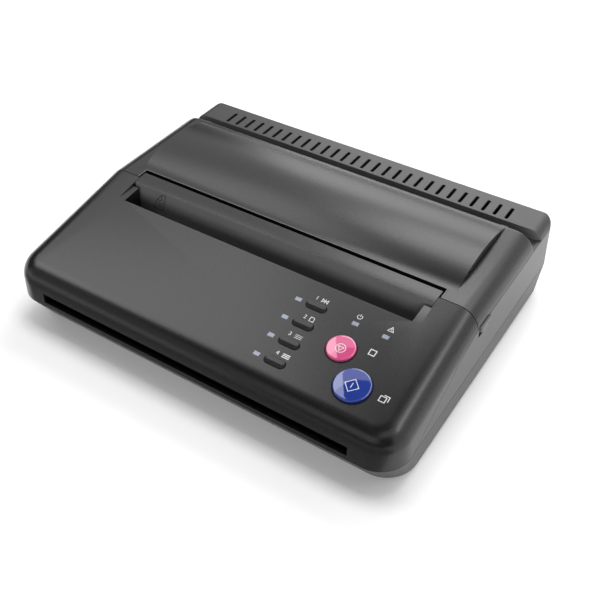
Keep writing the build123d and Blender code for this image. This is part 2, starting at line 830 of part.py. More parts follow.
sensor_z = sensor_top_z - sensor_height - sensor_glass_thickness
sensor_y = sensor_rear_y - sensor_width / 2
chute_slope = (sensor_z - sensor_paper_gap - outlet_bottom_z - chute_rise) / (sensor_y - front_y)
feed_z = chute_z(feed_y) + sleeve_proud - feed_radius
motor_z = inner_floor_z + motor_floor_gap + motor_radius
motor_place = (motor_y, motor_z)
platen_place = (platen_y, platen_z)
feed_place = (feed_y, feed_z)


def pitch_radius(teeth):
    return teeth * gear_module / 2


def idler_teeth(start, end, first_teeth, last_teeth):
    """Teeth of the idler that joins two gears, with some room to set it below their line."""
    span = math.dist(start, end)
    return math.ceil(centre_slack * span / gear_module - (first_teeth + last_teeth) / 2)


def idler_place(start, end, first_teeth, teeth, last_teeth):
    """Centre of an idler in mesh with both gears, on the lower side of the line between them."""
    span = math.dist(start, end)
    near = pitch_radius(first_teeth) + pitch_radius(teeth) + mesh_clearance
    far = pitch_radius(last_teeth) + pitch_radius(teeth) + mesh_clearance
    along = (near**2 - far**2 + span**2) / (2 * span)
    across = math.sqrt(near**2 - along**2)
    ahead = ((end[0] - start[0]) / span, (end[1] - start[1]) / span)
    side = (ahead[1], -ahead[0]) if ahead[0] > 0 else (-ahead[1], ahead[0])
    return (
        start[0] + along * ahead[0] + across * side[0],
        start[1] + along * ahead[1] + across * side[1],
    )


def meshed_turn(start, end, first_teeth, first_turn, teeth):
    """Angle of a gear's first tooth that puts it in mesh with the gear before it."""
    line = math.atan2(end[1] - start[1], end[0] - start[0])
    return line + math.pi - (first_turn - line) * first_teeth / teeth + math.pi / teeth


platen_idler_teeth = idler_teeth(motor_place, platen_place, pinion_teeth, platen_teeth)
feed_idler_teeth = idler_teeth(motor_place, feed_place, pinion_teeth, feed_teeth)
platen_idler_place = idler_place(motor_place, platen_place, pinion_teeth, platen_idler_teeth, platen_teeth)
feed_idler_place = idler_place(motor_place, feed_place, pinion_teeth, feed_idler_teeth, feed_teeth)
platen_idler_turn = meshed_turn(motor_place, platen_idler_place, pinion_teeth, 0, platen_idler_teeth)
feed_idler_turn = meshed_turn(motor_place, feed_idler_place, pinion_teeth, 0, feed_idler_teeth)
platen_turn = meshed_turn(
    platen_idler_place, platen_place, platen_idler_teeth, platen_idler_turn, platen_teeth
)
feed_turn = meshed_turn(feed_idler_place, feed_place, feed_idler_teeth, feed_idler_turn, feed_teeth)


def involute_half_angle(teeth, radius):
    """Half the angle that a tooth spans at a radius, less the play between meshed teeth."""
    base = pitch_radius(teeth) * math.cos(math.radians(pressure_angle))
    at_pitch = math.radians(pressure_angle)
    at_radius = math.acos(min(base / radius, 1.0))
    curve = (math.tan(at_pitch) - at_pitch) - (math.tan(at_radius) - at_radius)
    play = mesh_clearance / pitch_radius(teeth)
    return math.pi / (2 * teeth) - play / 2 + curve


def gear(teeth, place, turn, bore, label):
    """Spur gear on the left, with involute flanks, a web and a hub."""
    pitch = pitch_radius(teeth)
    root = pitch - dedendum * gear_module
    tip = pitch + gear_module
    base = max(root, pitch * math.cos(math.radians(pressure_angle)))
    flank = [(radius, involute_half_angle(teeth, radius)) for radius in (base, pitch, tip)]
    flank.insert(0, (root, flank[0][1]))
    with BuildPart() as wheel:
        with BuildSketch(Plane.YZ.offset(-gear_x)):
            with Locations(place):
                Circle(root)
                outline = [(r * math.cos(a), -r * math.sin(a)) for r, a in flank]
                outline += [(x, -y) for x, y in reversed(outline)]
                with PolarLocations(0, teeth, start_angle=math.degrees(turn)):
                    Polygon((0, 0), *outline, align=None)
                Circle(bore, mode=Mode.SUBTRACT)
        extrude(amount=gear_width / 2, both=True)
        if root - wall > bore + bush_wall + wall:
            with BuildSketch(Plane.YZ.offset(-gear_x - gear_width / 2)):
                with Locations(place):
                    Circle(root - wall)
                    Circle(bore + bush_wall, mode=Mode.SUBTRACT)
            extrude(amount=gear_width / 3, mode=Mode.SUBTRACT)
    save(wheel.part, label)


idler_bore = stud_radius + running_fit
gear(pinion_teeth, motor_place, 0, motor_shaft_radius, "motor_pinion")
gear(platen_idler_teeth, platen_idler_place, platen_idler_turn, idler_bore, "platen_idler_gear")
gear(platen_teeth, platen_place, platen_turn, platen_shaft_radius, "platen_gear")
gear(feed_idler_teeth, feed_idler_place, feed_idler_turn, idler_bore, "feed_idler_gear")
gear(feed_teeth, feed_place, feed_turn, feed_shaft_radius, "feed_gear")


def rod(place, radius, start, end):
    """Round bar along X between two x values."""
    with BuildPart() as bar:
        with BuildSketch(Plane.YZ.offset(start)):
            with Locations(place):
                Circle(radius)
        extrude(amount=end - start)
    return bar.part


gear_outer_x = -gear_x - gear_width / 2
frame_outer_x = frame_x + frame_thickness / 2
frame_inner_x = frame_x - frame_thickness / 2
bush_out_x = frame_x + bush_length / 2

# ---- Rollers, shafts and bushes ----
with BuildPart() as platen_shaft:
    add(rod(platen_place, platen_shaft_radius, gear_outer_x, bush_out_x))
save(platen_shaft.part, "platen_shaft")

with BuildPart() as platen_roller:
    add(rod(platen_place, platen_radius, -platen_half, platen_half))
    add(rod(platen_place, platen_shaft_radius, -reach, reach), mode=Mode.SUBTRACT)
save(platen_roller.part, "platen_roller")

with BuildPart() as feed_shaft:
    add(rod(feed_place, feed_shaft_radius, gear_outer_x, bush_out_x))
save(feed_shaft.part, "feed_shaft")

sleeve_span = 2 * (frame_x - feed_sleeve_end_gap) - feed_sleeve_length
sleeve_pitch = sleeve_span / (feed_sleeve_count - 1)
sleeve_places = [(n - (feed_sleeve_count - 1) / 2) * sleeve_pitch for n in range(feed_sleeve_count)]
with BuildPart() as feed_sleeves:
    for x in sleeve_places:
        add(rod(feed_place, feed_radius, x - feed_sleeve_length / 2, x + feed_sleeve_length / 2))
    add(rod(feed_place, feed_shaft_radius, -reach, reach), mode=Mode.SUBTRACT)
save(feed_sleeves.part, "feed_sleeves")

for label, place, radius in (
    ("platen_bushes", platen_place, platen_shaft_radius),
    ("feed_bushes", feed_place, feed_shaft_radius),
):
    with BuildPart() as bushes:
        for side in (-1, 1):
            start = side * frame_x - bush_length / 2
            add(rod(place, radius + bush_wall, start, start + bush_length))
        add(rod(place, radius + running_fit, -reach, reach), mode=Mode.SUBTRACT)
    save(bushes.part, label)

with BuildPart() as idler_studs:
    for place in (platen_idler_place, feed_idler_place):
        add(rod(place, stud_radius, gear_outer_x, -frame_inner_x))
save(idler_studs.part, "idler_studs")

# ---- Side frames and their tie bars ----
tie_places = [(y, tie_bar_z) for y in (platen_y - tie_bar_ahead, platen_y + tie_bar_behind)]
frame_top_z = shoulder_z - frame_shoulder_drop
frame_front_y = feed_y - frame_ahead_of_feed
frame_rear_y = hinge_y + frame_behind_hinge
for side, label in ((-1, "left_side_frame"), (1, "right_side_frame")):
    with BuildPart() as side_frame:
        with BuildSketch(Plane.YZ.offset(side * frame_x)):
            Polygon(
                (frame_front_y, inner_floor_z),
                (frame_rear_y, inner_floor_z),
                (frame_rear_y, frame_top_z),
                (frame_front_y, frame_top_z),
                align=None,
            )
            with Locations((hinge_y, frame_top_z)):
                Rectangle(2 * hinge_radius, hinge_z - frame_top_z, align=(Align.CENTER, Align.MIN))
            with Locations((hinge_y, hinge_z)):
                Circle(hinge_radius)
            ear = platen_shaft_radius + 2 * bush_wall
            with Locations((platen_y, frame_top_z)):
                Rectangle(2 * ear, platen_z - frame_top_z, align=(Align.CENTER, Align.MIN))
            with Locations(platen_place):
                Circle(ear)
            with Locations(feed_place):
                Circle(feed_shaft_radius + 2 * bush_wall)
            with Locations((hinge_y, hinge_z)):
                Circle(hinge_pin_radius, mode=Mode.SUBTRACT)
            with Locations(platen_place):
                Circle(platen_shaft_radius + bush_wall, mode=Mode.SUBTRACT)
            with Locations(feed_place):
                Circle(feed_shaft_radius + bush_wall, mode=Mode.SUBTRACT)
            with Locations(*tie_places):
                Circle(tie_bar_radius, mode=Mode.SUBTRACT)
            if side < 0:
                with Locations(platen_idler_place, feed_idler_place):
                    Circle(stud_radius, mode=Mode.SUBTRACT)
                with Locations(motor_place):
                    Circle(motor_shaft_radius + bush_wall, mode=Mode.SUBTRACT)
        extrude(amount=frame_thickness / 2, both=True)
    save(side_frame.part, label)

with BuildPart() as frame_tie_bars:
    for place in tie_places:
        add(rod(place, tie_bar_radius, -frame_outer_x, frame_outer_x))
save(frame_tie_bars.part, "frame_tie_bars")

# ---- Motor ----
with BuildPart() as drive_motor:
    add(rod(motor_place, motor_radius, -frame_inner_x, motor_length - frame_inner_x))
    bore_end = motor_length / 2 - frame_inner_x
    add(rod(motor_place, motor_shaft_radius + running_fit, -reach, bore_end), mode=Mode.SUBTRACT)
save(drive_motor.part, "drive_motor")

with BuildPart() as motor_shaft:
    add(rod(motor_place, motor_shaft_radius, gear_outer_x, bore_end - seat_gap))
save(motor_shaft.part, "motor_shaft")

# ---- Paper path ----
chute_half = frame_x - chute_end_gap
chute_front_y = front_y + 2 * wall
chute_leg_front_y = front_y + chute_leg_margin
chute_rear_y = inlet_front_y + chute_behind_inlet
with BuildPart() as exit_chute:
    lower = chute_thickness / math.cos(math.atan(chute_slope))
    add(
        side_slab(
            (chute_front_y, chute_z(chute_front_y)),
            (chute_rear_y, chute_z(chute_rear_y)),
            (chute_rear_y, chute_z(chute_rear_y) - lower),
            (chute_front_y, chute_z(chute_front_y) - lower),
        )
    )
    Box(2 * chute_half, case_depth, reach, mode=Mode.INTERSECT)
    for side in (-1, 1):
        with BuildSketch(Plane.YZ.offset(side * (chute_half - chute_thickness))):
            Polygon(
                (chute_leg_front_y, inner_floor_z),
                (chute_rear_y, inner_floor_z),
                (chute_rear_y, chute_z(chute_rear_y) - lower / 2),
                (chute_leg_front_y, chute_z(chute_leg_front_y) - lower / 2),
                align=None,
            )
        extrude(amount=side * chute_thickness)
    window = 2 * (feed_radius + seat_gap + sleeve_proud)
    for x in sleeve_places:
        with Locations((x, feed_y, feed_z + feed_radius)):
            Box(feed_sleeve_length + 4 * sleeve_proud, window, 2 * feed_radius, mode=Mode.SUBTRACT)
    add(rod(feed_place, feed_shaft_radius + sleeve_proud, -reach, reach), mode=Mode.SUBTRACT)
save(exit_chute.part, "exit_chute")

sensor_half = frame_x - sensor_end_gap
with BuildPart() as image_sensor:
    with Locations((0, sensor_rear_y, sensor_z + sensor_glass_thickness)):
        Box(2 * sensor_half, sensor_width, sensor_height, align=(Align.CENTER, Align.MAX, Align.MIN))
save(image_sensor.part, "image_sensor")

with BuildPart() as sensor_glass:
    with Locations((0, sensor_rear_y, sensor_z)):
        Box(
            2 * sensor_half,
            sensor_width,
            sensor_glass_thickness,
            align=(Align.CENTER, Align.MAX, Align.MIN),
        )
save(sensor_glass.part, "sensor_glass")

with BuildPart() as stencil_guide:
    guide_rear_y = groove_front_y + stencil_slot_length
    guide_front_y = platen_y + platen_radius + 2 * seat_gap
    add(
        side_slab(
            (guide_rear_y, shelf_z),
            (guide_front_y, platen_z),
            (guide_front_y, platen_z - chute_thickness),
            (guide_rear_y, shelf_z - chute_thickness),
        )
    )
    Box(2 * (frame_inner_x - lug_width - seat_gap), case_depth, reach, mode=Mode.INTERSECT)
save(stencil_guide.part, "stencil_guide")

# ---- Release latches ----
latch_inner_x = half_x - latch_out - seat_gap
for side, label in ((-1, "left_latch"), (1, "right_latch")):
    with BuildPart() as latch:
        with BuildSketch(Plane.XY.offset(housing_top_z)):
            with BuildLine():
                arc = ThreePointArc(
                    (side * latch_inner_x, latch_y - latch_half),
                    (side * (latch_inner_x + latch_out), latch_y),
                    (side * latch_inner_x, latch_y + latch_half),
                )
                Line(arc @ 1, arc @ 0)
            make_face()
        extrude(amount=-latch_height)
        rim_edges = latch.faces().sort_by(Axis.Z)[-1].edges().sort_by(Axis.X)
        chamfer(rim_edges[-1] if side > 0 else rim_edges[0], latch_out / 3)
    save(latch.part, label)

# ---- Circuit boards ----
board_z = inner_floor_z + board_boss_height
for label, place, width, depth in boards:
    with BuildPart() as board:
        with Locations((*place, board_z)):
            Box(width, depth, board_thickness, align=(Align.CENTER, Align.CENTER, Align.MIN))
    save(board.part, label)

with BuildPart() as main_board_chips:
    with Locations((*main_board_place, board_z + board_thickness)):
        for x, y, width, depth, height in board_chips:
            with Locations((x, y)):
                Box(width, depth, height, align=(Align.CENTER, Align.CENTER, Align.MIN))
save(main_board_chips.part, "main_board_chips")

with BuildPart() as power_transformer:
    with Locations((*power_board_place, board_z + board_thickness)):
        with Locations(transformer_place):
            Box(
                transformer_width,
                transformer_depth,
                transformer_height,
                align=(Align.CENTER, Align.CENTER, Align.MIN),
            )
    fillet(power_transformer.edges().filter_by(Axis.Z), transformer_width / 8)
save(power_transformer.part, "power_transformer")

with BuildPart() as power_capacitors:
    with BuildSketch(Plane.XY.offset(board_z + board_thickness)):
        with Locations(power_board_place):
            with Locations(*capacitor_places):
                Circle(capacitor_radius)
    extrude(amount=capacitor_height)
save(power_capacitors.part, "power_capacitors")

# ---- Power inlet and switch in the rear wall ----
with BuildPart() as power_inlet:
    with Locations((power_inlet_x, rear_y, power_inlet_z)):
        Box(
            power_inlet_width,
            power_inlet_depth,
            power_inlet_height,
            align=(Align.CENTER, Align.MAX, Align.CENTER),
        )
        Box(
            mouth_width,
            mouth_depth,
            mouth_height,
            align=(Align.CENTER, Align.MAX, Align.CENTER),
            mode=Mode.SUBTRACT,
        )
save(power_inlet.part, "power_inlet")

inlet_pin_places = [(side * inlet_pin_pitch, -inlet_pin_drop) for side in (-1, 1)] + [(0, inlet_pin_drop)]
with BuildPart() as inlet_pins:
    with BuildSketch(Plane.XZ.offset(mouth_depth - rear_y)):
        with Locations((power_inlet_x, power_inlet_z)):
            with Locations(*inlet_pin_places):
                Rectangle(inlet_pin_width, inlet_pin_height)
    extrude(amount=-inlet_pin_length)
save(inlet_pins.part, "inlet_pins")

rocker_axle_y = rear_y - rocker_sink - rocker_axle_depth
with BuildPart() as switch_body:
    with Locations((switch_x, rear_y, power_inlet_z)):
        Box(
            switch_body_width,
            switch_body_depth,
            switch_body_height,
            align=(Align.CENTER, Align.MAX, Align.CENTER),
        )
        Box(
            rocker_width + 2 * rocker_gap,
            2 * rocker_axle_depth + rocker_sink,
            rocker_height + 2 * rocker_gap,
            align=(Align.CENTER, Align.MAX, Align.CENTER),
            mode=Mode.SUBTRACT,
        )
    with Locations((switch_x, rocker_axle_y, power_inlet_z)):
        bore_length = rocker_height + 5 * rocker_axle_radius
        Cylinder(rocker_axle_radius + running_fit, bore_length, mode=Mode.SUBTRACT)
save(switch_body.part, "switch_body")

rocker_turn = math.radians(rocker_angle)
rocker_plane = Plane(
    origin=(switch_x, rocker_axle_y, power_inlet_z),
    x_dir=(math.cos(rocker_turn), -math.sin(rocker_turn), 0),
    z_dir=(0, 0, 1),
)
with BuildPart() as power_rocker:
    with BuildSketch(rocker_plane):
        slope = rocker_width / 2 * math.tan(rocker_turn)
        Polygon(
            (-rocker_width / 2, rocker_axle_depth - slope),
            (0, rocker_axle_depth),
            (rocker_width / 2, rocker_axle_depth - slope),
            (rocker_width / 2, 0),
            (0, -rocker_axle_depth / 2),
            (-rocker_width / 2, 0),
            align=None,
        )
    extrude(amount=rocker_height / 2, both=True)
    with BuildSketch(rocker_plane):
        Circle(rocker_axle_radius)
    extrude(amount=rocker_height / 2 + 2 * rocker_axle_radius, both=True)
save(power_rocker.part, "power_rocker")

# ---- Feet and screws ----
foot_rows = (front_y + foot_front_margin, rear_y - foot_rear_margin)
foot_places = [(side * (half_x - foot_side_margin), y) for side in (-1, 1) for y in foot_rows]
with BuildPart() as rubber_feet:
    with BuildSketch():
        with Locations(*foot_places):
            Circle(foot_radius)
    extrude(amount=foot_height)
save(rubber_feet.part, "rubber_feet")

with BuildPart() as pan_screws:
    with BuildSketch(Plane.XY.offset(pan_floor_z)):
        with Locations(*screw_places):
            Circle(screw_head_radius)
    extrude(amount=screw_head_height)
    with BuildSketch(Plane.XY.offset(pan_floor_z)):
        with Locations(*screw_places):
            Circle(screw_hole_radius)
    extrude(amount=screw_length)
save(pan_screws.part, "pan_screws")
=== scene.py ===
import json
import math

import bmesh
import bpy
from mathutils import Matrix, Vector


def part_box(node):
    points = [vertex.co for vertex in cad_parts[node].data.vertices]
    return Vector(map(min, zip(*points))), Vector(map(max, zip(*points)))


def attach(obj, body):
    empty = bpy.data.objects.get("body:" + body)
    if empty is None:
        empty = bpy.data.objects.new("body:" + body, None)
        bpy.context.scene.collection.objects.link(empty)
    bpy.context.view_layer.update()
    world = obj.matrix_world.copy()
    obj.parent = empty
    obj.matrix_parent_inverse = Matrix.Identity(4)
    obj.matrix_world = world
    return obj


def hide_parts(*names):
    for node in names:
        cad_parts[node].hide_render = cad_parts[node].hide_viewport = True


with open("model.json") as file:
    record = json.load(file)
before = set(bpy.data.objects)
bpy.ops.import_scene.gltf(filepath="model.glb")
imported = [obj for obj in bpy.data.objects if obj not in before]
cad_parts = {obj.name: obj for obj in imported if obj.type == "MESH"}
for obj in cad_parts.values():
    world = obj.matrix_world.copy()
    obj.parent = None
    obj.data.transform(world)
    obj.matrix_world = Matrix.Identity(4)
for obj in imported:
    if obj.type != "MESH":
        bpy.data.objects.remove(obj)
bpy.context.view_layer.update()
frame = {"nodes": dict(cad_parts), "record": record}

bl_info = {
    "name": "Thermal stencil copier",
    "version": (1, 0, 0),
    "blender": (4, 5, 0),
    "location": "3D View > Sidebar > Copier",
    "description": "Dresses the casings, keys, print and fasteners of a desktop thermal copier",
    "category": "Object",
}

MM = 0.001
NODE_SLOTS = {part["node"]: part["material_slot"] for part in frame["record"]["subparts"]}
NODE_BODIES = {
    node: body for body, members in frame["record"]["behaviour"]["bodies"].items() for node in members
}

# Key panel, in mm: its slope, the front edge of the document slot, and the seam under the cover's lip.
PANEL_TILT = math.radians(10.5)
SLOT_EDGE_Y = -31.6
SEAM_Y = -9.5
LIP_Z = 63.5
SLOT_EDGE_Z = LIP_Z + (SLOT_EDGE_Y - SEAM_Y) * math.tan(PANEL_TILT)

# Keys on the panel, in mm: along x, and up the slope from the slot's edge.
KEY_X = 53.5
FIRST_ROW = -16.7
ROW_PITCH = 14.7
KEY_ROWS = [FIRST_ROW - ROW_PITCH * row for row in range(4)]
STOP_PLACE, STOP_RADIUS = (81.4, -35.6), 8.7
COPY_PLACE, COPY_RADIUS = (99.2, -53.8), 10.9

# An edge that turns by more degrees than this is rounded where a piece is dressed, and is shaded sharp.
CREASE = 31.0


def on_panel(x, along, proud=0.0):
    """Point in metres on the sloping panel: x to the right, along up the slope from the slot's edge, in mm."""
    y = SLOT_EDGE_Y + along * math.cos(PANEL_TILT) - proud * math.sin(PANEL_TILT)
    z = SLOT_EDGE_Z + along * math.sin(PANEL_TILT) + proud * math.cos(PANEL_TILT)
    return Vector((x, y, z)) * MM


# ---------------------------------------------------------------- settings
def colour(name, description, default):
    return bpy.props.FloatVectorProperty(
        name=name, description=description, subtype="COLOR", size=3, min=0, max=1, default=default
    )


def factor(name, description, default):
    return bpy.props.FloatProperty(
        name=name, description=description, subtype="FACTOR", min=0, max=1, default=default
    )


def length(name, description, default):
    """A length in metres, with its default in mm."""
    return bpy.props.FloatProperty(
        name=name, description=description, unit="LENGTH", min=0, precision=5, default=default * MM
    )


class CopierFinish(bpy.types.PropertyGroup):
    """Colours and gloss of the mouldings, keys and print"""

    casing_colour: colour("Casing", "Black of the outer mouldings", (0.0075, 0.0073, 0.0078))
    casing_roughness: factor("Casing roughness", "Roughness of the moulded surface", 0.28)
    pan_colour: colour("Pan", "Dark grey of the bottom pan", (0.045, 0.045, 0.044))
    pink_colour: colour("Stop key", "Colour of the stop key's cap", (0.60, 0.075, 0.22))
    blue_colour: colour("Copy key", "Colour of the copy key's cap", (0.012, 0.035, 0.24))
    print_colour: colour("Print", "Colour of the printed marks", (0.66, 0.66, 0.67))
    lamp_colour: colour("Lamp window", "Colour of the unlit lamp windows", (0.26, 0.28, 0.36))


class CopierSizes(bpy.types.PropertyGroup):
    """Sizes of the details on the mouldings, in metres"""

    edge_round: length("Edge rounding", "Radius of the moulded edges", 0.35)
    print_height: length("Print height", "How far the print stands on the plastic", 0.03)
    stroke_width: length("Stroke", "Width of the printed lines", 0.42)
    digit_height: length("Digit height", "Height of the printed digits", 2.7)
    engraving_width: length("Engraving", "Width of the lines of the page sign", 0.38)
    screw_recess: length("Screw recess", "Width of the cross in a screw's head", 0.9)


def finish():
    return bpy.context.scene.copier_finish


def sizes():
    return bpy.context.scene.copier_sizes


# ---------------------------------------------------------------- materials
METAL = {"Metallic": 1.0}
DOMED = {
    "bump": 0, "swing": 0.05,
    "Coat_Weight": 1.0, "Coat_IOR": 1.9, "Coat_Roughness": 0.04, "Specular_IOR_Level": 0.1,
}
GRAIN_DEPTH = 0.05 * MM

# Finishes: material, colour and roughness (a name is a setting of CopierFinish), and how it differs from a moulding.
FINISHES = {
    "case_plastic": ("satin_black_moulding", "casing_colour", "casing_roughness", {}),
    "housing_plastic": ("charcoal_moulding", (0.028, 0.0278, 0.028), 0.33, {}),
    "pan_plastic": ("dark_grey_moulding", "pan_colour", 0.42, {}),
    "key_plastic": ("black_key_moulding", (0.014, 0.014, 0.014), 0.34, {"bump": 0.06}),
    "pink_plastic": ("pink_key_cap", "pink_colour", 0.5, DOMED),
    "blue_plastic": ("blue_key_cap", "blue_colour", 0.5, DOMED),
    "window_plastic": ("smoked_lamp_window", "lamp_colour", 0.22, {"bump": 0.1, "patch": 900.0, "swing": 0.3}),
    "frame_steel": ("zinc_plated_sheet", (0.56, 0.56, 0.53), 0.34, {"grain": 900.0, "swing": 0.2, **METAL}),
    "shaft_steel": ("ground_steel", (0.62, 0.62, 0.63), 0.24, {"stretch": (1, 6, 6), "grain": 700.0, **METAL}),
    "roller_rubber": ("silicone_roller", (0.028, 0.028, 0.03), 0.58, {"grain": 3200.0, "bump": 0.25}),
    "gear_plastic": ("natural_acetal", (0.72, 0.70, 0.63), 0.36, {"swing": 0.04}),
    "bush_plastic": ("brown_acetal_bush", (0.10, 0.06, 0.035), 0.34, {}),
    "motor_metal": ("plated_motor_can", (0.50, 0.50, 0.48), 0.28, {"stretch": (1, 5, 5), "grain": 800.0, **METAL}),
    "board": ("green_circuit_board", (0.012, 0.11, 0.045), 0.34, {"patch": 260.0, "swing": 0.35}),
    "chip_plastic": ("component_epoxy", (0.018, 0.018, 0.02), 0.46, {"grain": 3000.0}),
    "sink_aluminium": (
        "extruded_aluminium", (0.70, 0.70, 0.71), 0.32, {"stretch": (1, 9, 9), "grain": 500.0, **METAL}
    ),
    "head_ceramic": ("glazed_ceramic", (0.60, 0.58, 0.52), 0.10, {"bump": 0, "swing": 0.03}),
    "glass": ("clear_sensor_glass", (0.85, 0.92, 0.90), 0.04, {"bump": 0, "Transmission_Weight": 0.9}),
    "pin_brass": ("plated_brass", (0.70, 0.50, 0.22), 0.26, METAL),
    "foot_rubber": ("soft_black_rubber", (0.018, 0.018, 0.019), 0.74, {"grain": 1800.0, "bump": 0.3}),
    # Painted light: a lighter grey for the black guide's front face and the ridge's front wall, standing in for the
    # light on them.
    "guide_face": ("matte_grey_face", (0.19, 0.19, 0.195), 0.6, {"grain": 1500.0}),
    # Painted shade: near black for the arch's end walls and the key gaps, where shade falls.
    "arch_end": ("deep_black_wall", (0.003, 0.003, 0.003), 0.6, {"Specular_IOR_Level": 0.15}),
    # Painted highlight: a light grey line on the black cover's lip edge.
    "bright_edge": ("bright_moulded_edge", (0.10, 0.10, 0.102), 0.5, {}),
    "print": ("white_print", "print_colour", 0.55, {"bump": 0.05, "swing": 0.06, "patch": 600.0}),
    # Painted shade: the page sign's engraved lines are dark strokes, their darkness standing in for shade in the
    # grooves.
    "engraving": ("engraved_line", (0.006, 0.006, 0.006), 0.6, {"bump": 0.1}),
}
MATERIALS = {}


def node_tree(name):
    """A new material with its nodes, links and shader."""
    material = bpy.data.materials.new(name)
    material.use_nodes = True
    nodes = material.node_tree.nodes
    return material, nodes, material.node_tree.links, nodes["Principled BSDF"]


def noise(nodes, links, vector, scale, detail):
    """A noise texture read at the vector."""
    texture = nodes.new("ShaderNodeTexNoise")
    texture.inputs["Scale"].default_value = scale
    texture.inputs["Detail"].default_value = detail
    links.new(vector, texture.inputs["Vector"])
    return texture.outputs["Fac"]


def textured(name, tone, rough, grain=2600.0, bump=0.12, swing=0.10, patch=30.0, stretch=(1, 1, 1), **sockets):
    """A moulded, ground or rolled surface: fine grain in relief and roughness, slow patches in colour."""
    material, nodes, links, shader = node_tree(name)
    place = nodes.new("ShaderNodeTexCoord")
    turn = nodes.new("ShaderNodeMapping")
    turn.inputs["Scale"].default_value = stretch
    links.new(place.outputs["Object"], turn.inputs["Vector"])
    slow = noise(nodes, links, turn.outputs["Vector"], patch, detail=5)
    fine = noise(nodes, links, turn.outputs["Vector"], grain, detail=2)
    shade = nodes.new("ShaderNodeMix")
    shade.data_type = "RGBA"
    shade.inputs["A"].default_value = (*[c * (1 - swing) for c in tone], 1)
    shade.inputs["B"].default_value = (*[min(1, c * (1 + swing)) for c in tone], 1)
    links.new(slow, shade.inputs["Factor"])
    links.new(shade.outputs["Result"], shader.inputs["Base Color"])
    gloss = nodes.new("ShaderNodeMapRange")
    gloss.inputs["To Min"].default_value = rough * (1 - swing)
    gloss.inputs["To Max"].default_value = rough * (1 + swing)
    links.new(fine, gloss.inputs["Value"])
    links.new(gloss.outputs["Result"], shader.inputs["Roughness"])
    if bump:
        relief = nodes.new("ShaderNodeBump")
        relief.inputs["Strength"].default_value = bump
        relief.inputs["Distance"].default_value = GRAIN_DEPTH
        links.new(fine, relief.inputs["Height"])
        links.new(relief.outputs["Normal"], shader.inputs["Normal"])
    for socket, value in sockets.items():
        shader.inputs[socket.replace("_", " ")].default_value = value
    return material


def material_for(kind):
    """The material of a slot or detail, made once."""
    if kind not in MATERIALS:
        name, tone, rough, more = FINISHES[kind]
        if isinstance(tone, str):
            tone = getattr(finish(), tone)
        if isinstance(rough, str):
            rough = getattr(finish(), rough)
        MATERIALS[kind] = textured(name, tone, rough, **more)
    return MATERIALS[kind]


# ---------------------------------------------------------------- making pieces
# How a solid's mesh is cleaned: points nearer than this are one, faces this level are one, and a face with
# more corners than this is cut up, because rounding would spoil one that is pierced by slots.
MERGE_DISTANCE = 0.004 * MM
LEVEL_ANGLE = math.radians(0.5)
PIERCED_CORNERS = 30

# The least share by which a line's corner is drawn out, so that sharp corners don't grow spikes.
CORNER_LIMIT = 0.35


def linked(name, data):
    """A new object in the scene's own collection."""
    piece = bpy.data.objects.new(name, data)
    bpy.context.scene.collection.objects.link(piece)
    return piece


def place_piece(name, mesh, body, kind, nodes=()):
    """Links a finished mesh, gives it its finish and hands it to its body."""
    piece = linked(name, mesh)
    if not mesh.materials:
        mesh.materials.append(material_for(kind))
    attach(piece, body)
    if nodes:
        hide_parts(*nodes)
    return piece


def shaded(mesh, crease=CREASE):
    """The mesh, smooth except at its sharp edges."""
    mesh.shade_smooth()
    mesh.set_sharp_from_angle(angle=math.radians(crease))
    return mesh


def plain_mesh(name, form, crease=CREASE):
    """A shaded mesh of the bmesh's points and faces only."""
    form.verts.index_update()
    mesh = bpy.data.meshes.new(name)
    mesh.from_pydata([v.co[:] for v in form.verts], [], [[v.index for v in f.verts] for f in form.faces])
    form.free()
    return shaded(mesh, crease)


def evaluated_mesh(carrier):
    """A plain mesh of the carrier's shape, which is then removed."""
    bpy.context.view_layer.update()
    seen = carrier.evaluated_get(bpy.context.evaluated_depsgraph_get())
    mesh = bpy.data.meshes.new_from_object(seen)
    carrier.modifiers.clear()
    bpy.data.objects.remove(carrier)
    return mesh


def rounded(name, mesh, width, segments):
    """The mesh with its sharp edges rounded."""
    carrier = linked(name + "_form", mesh)
    bevel = carrier.modifiers.new("Rounding", "BEVEL")
    bevel.width, bevel.segments = width, segments
    bevel.limit_method, bevel.angle_limit = "ANGLE", math.radians(CREASE)
    bevel.use_clamp_overlap = True
    bevel.harden_normals = True
    bevel.miter_outer = "MITER_ARC"
    result = evaluated_mesh(carrier)
    bpy.data.meshes.remove(mesh)
    result.name = name
    return result


def merged(node):
    """A bmesh of a node's solid with its doubles merged and its flats made whole."""
    form = bmesh.new()
    form.from_mesh(frame["nodes"][node].data)
    bmesh.ops.remove_doubles(form, verts=form.verts, dist=MERGE_DISTANCE)
    bmesh.ops.dissolve_limit(form, angle_limit=LEVEL_ANGLE, verts=form.verts, edges=form.edges)
    pierced = [face for face in form.faces if len(face.verts) > PIERCED_CORNERS]
    bmesh.ops.triangulate(form, faces=pierced, ngon_method="BEAUTY")
    return form


def dress(node, width=None, segments=2, reshape=None):
    """Puts a copy with rounded edges in the node's place, after the reshaping."""
    name = node + "_dressed"
    form = merged(node)
    if reshape:
        reshape(form)
    mesh = rounded(name, plain_mesh(name, form), width or sizes().edge_round, segments)
    return place_piece(name, mesh, NODE_BODIES[node], NODE_SLOTS[node], nodes=(node,))


def lathe(form, profile, place, turns):
    """Turns a closed profile of (radius, height) in mm about the axis that place puts (x, y, height) round."""
    rings = []
    for radius, height in profile:
        points = ring(radius, turns) if radius else [(0.0, 0.0)]
        rings.append([form.verts.new(place(x, y, height)) for x, y in points])
    for lower, upper in zip(rings, rings[1:]):
        for step in range(turns):
            after = (step + 1) % turns
            corners = [
                lower[step % len(lower)], lower[after % len(lower)],
                upper[after % len(upper)], upper[step % len(upper)],
            ]
            corners = list(dict.fromkeys(corners))
            if len(corners) > 2:
                form.faces.new(corners)


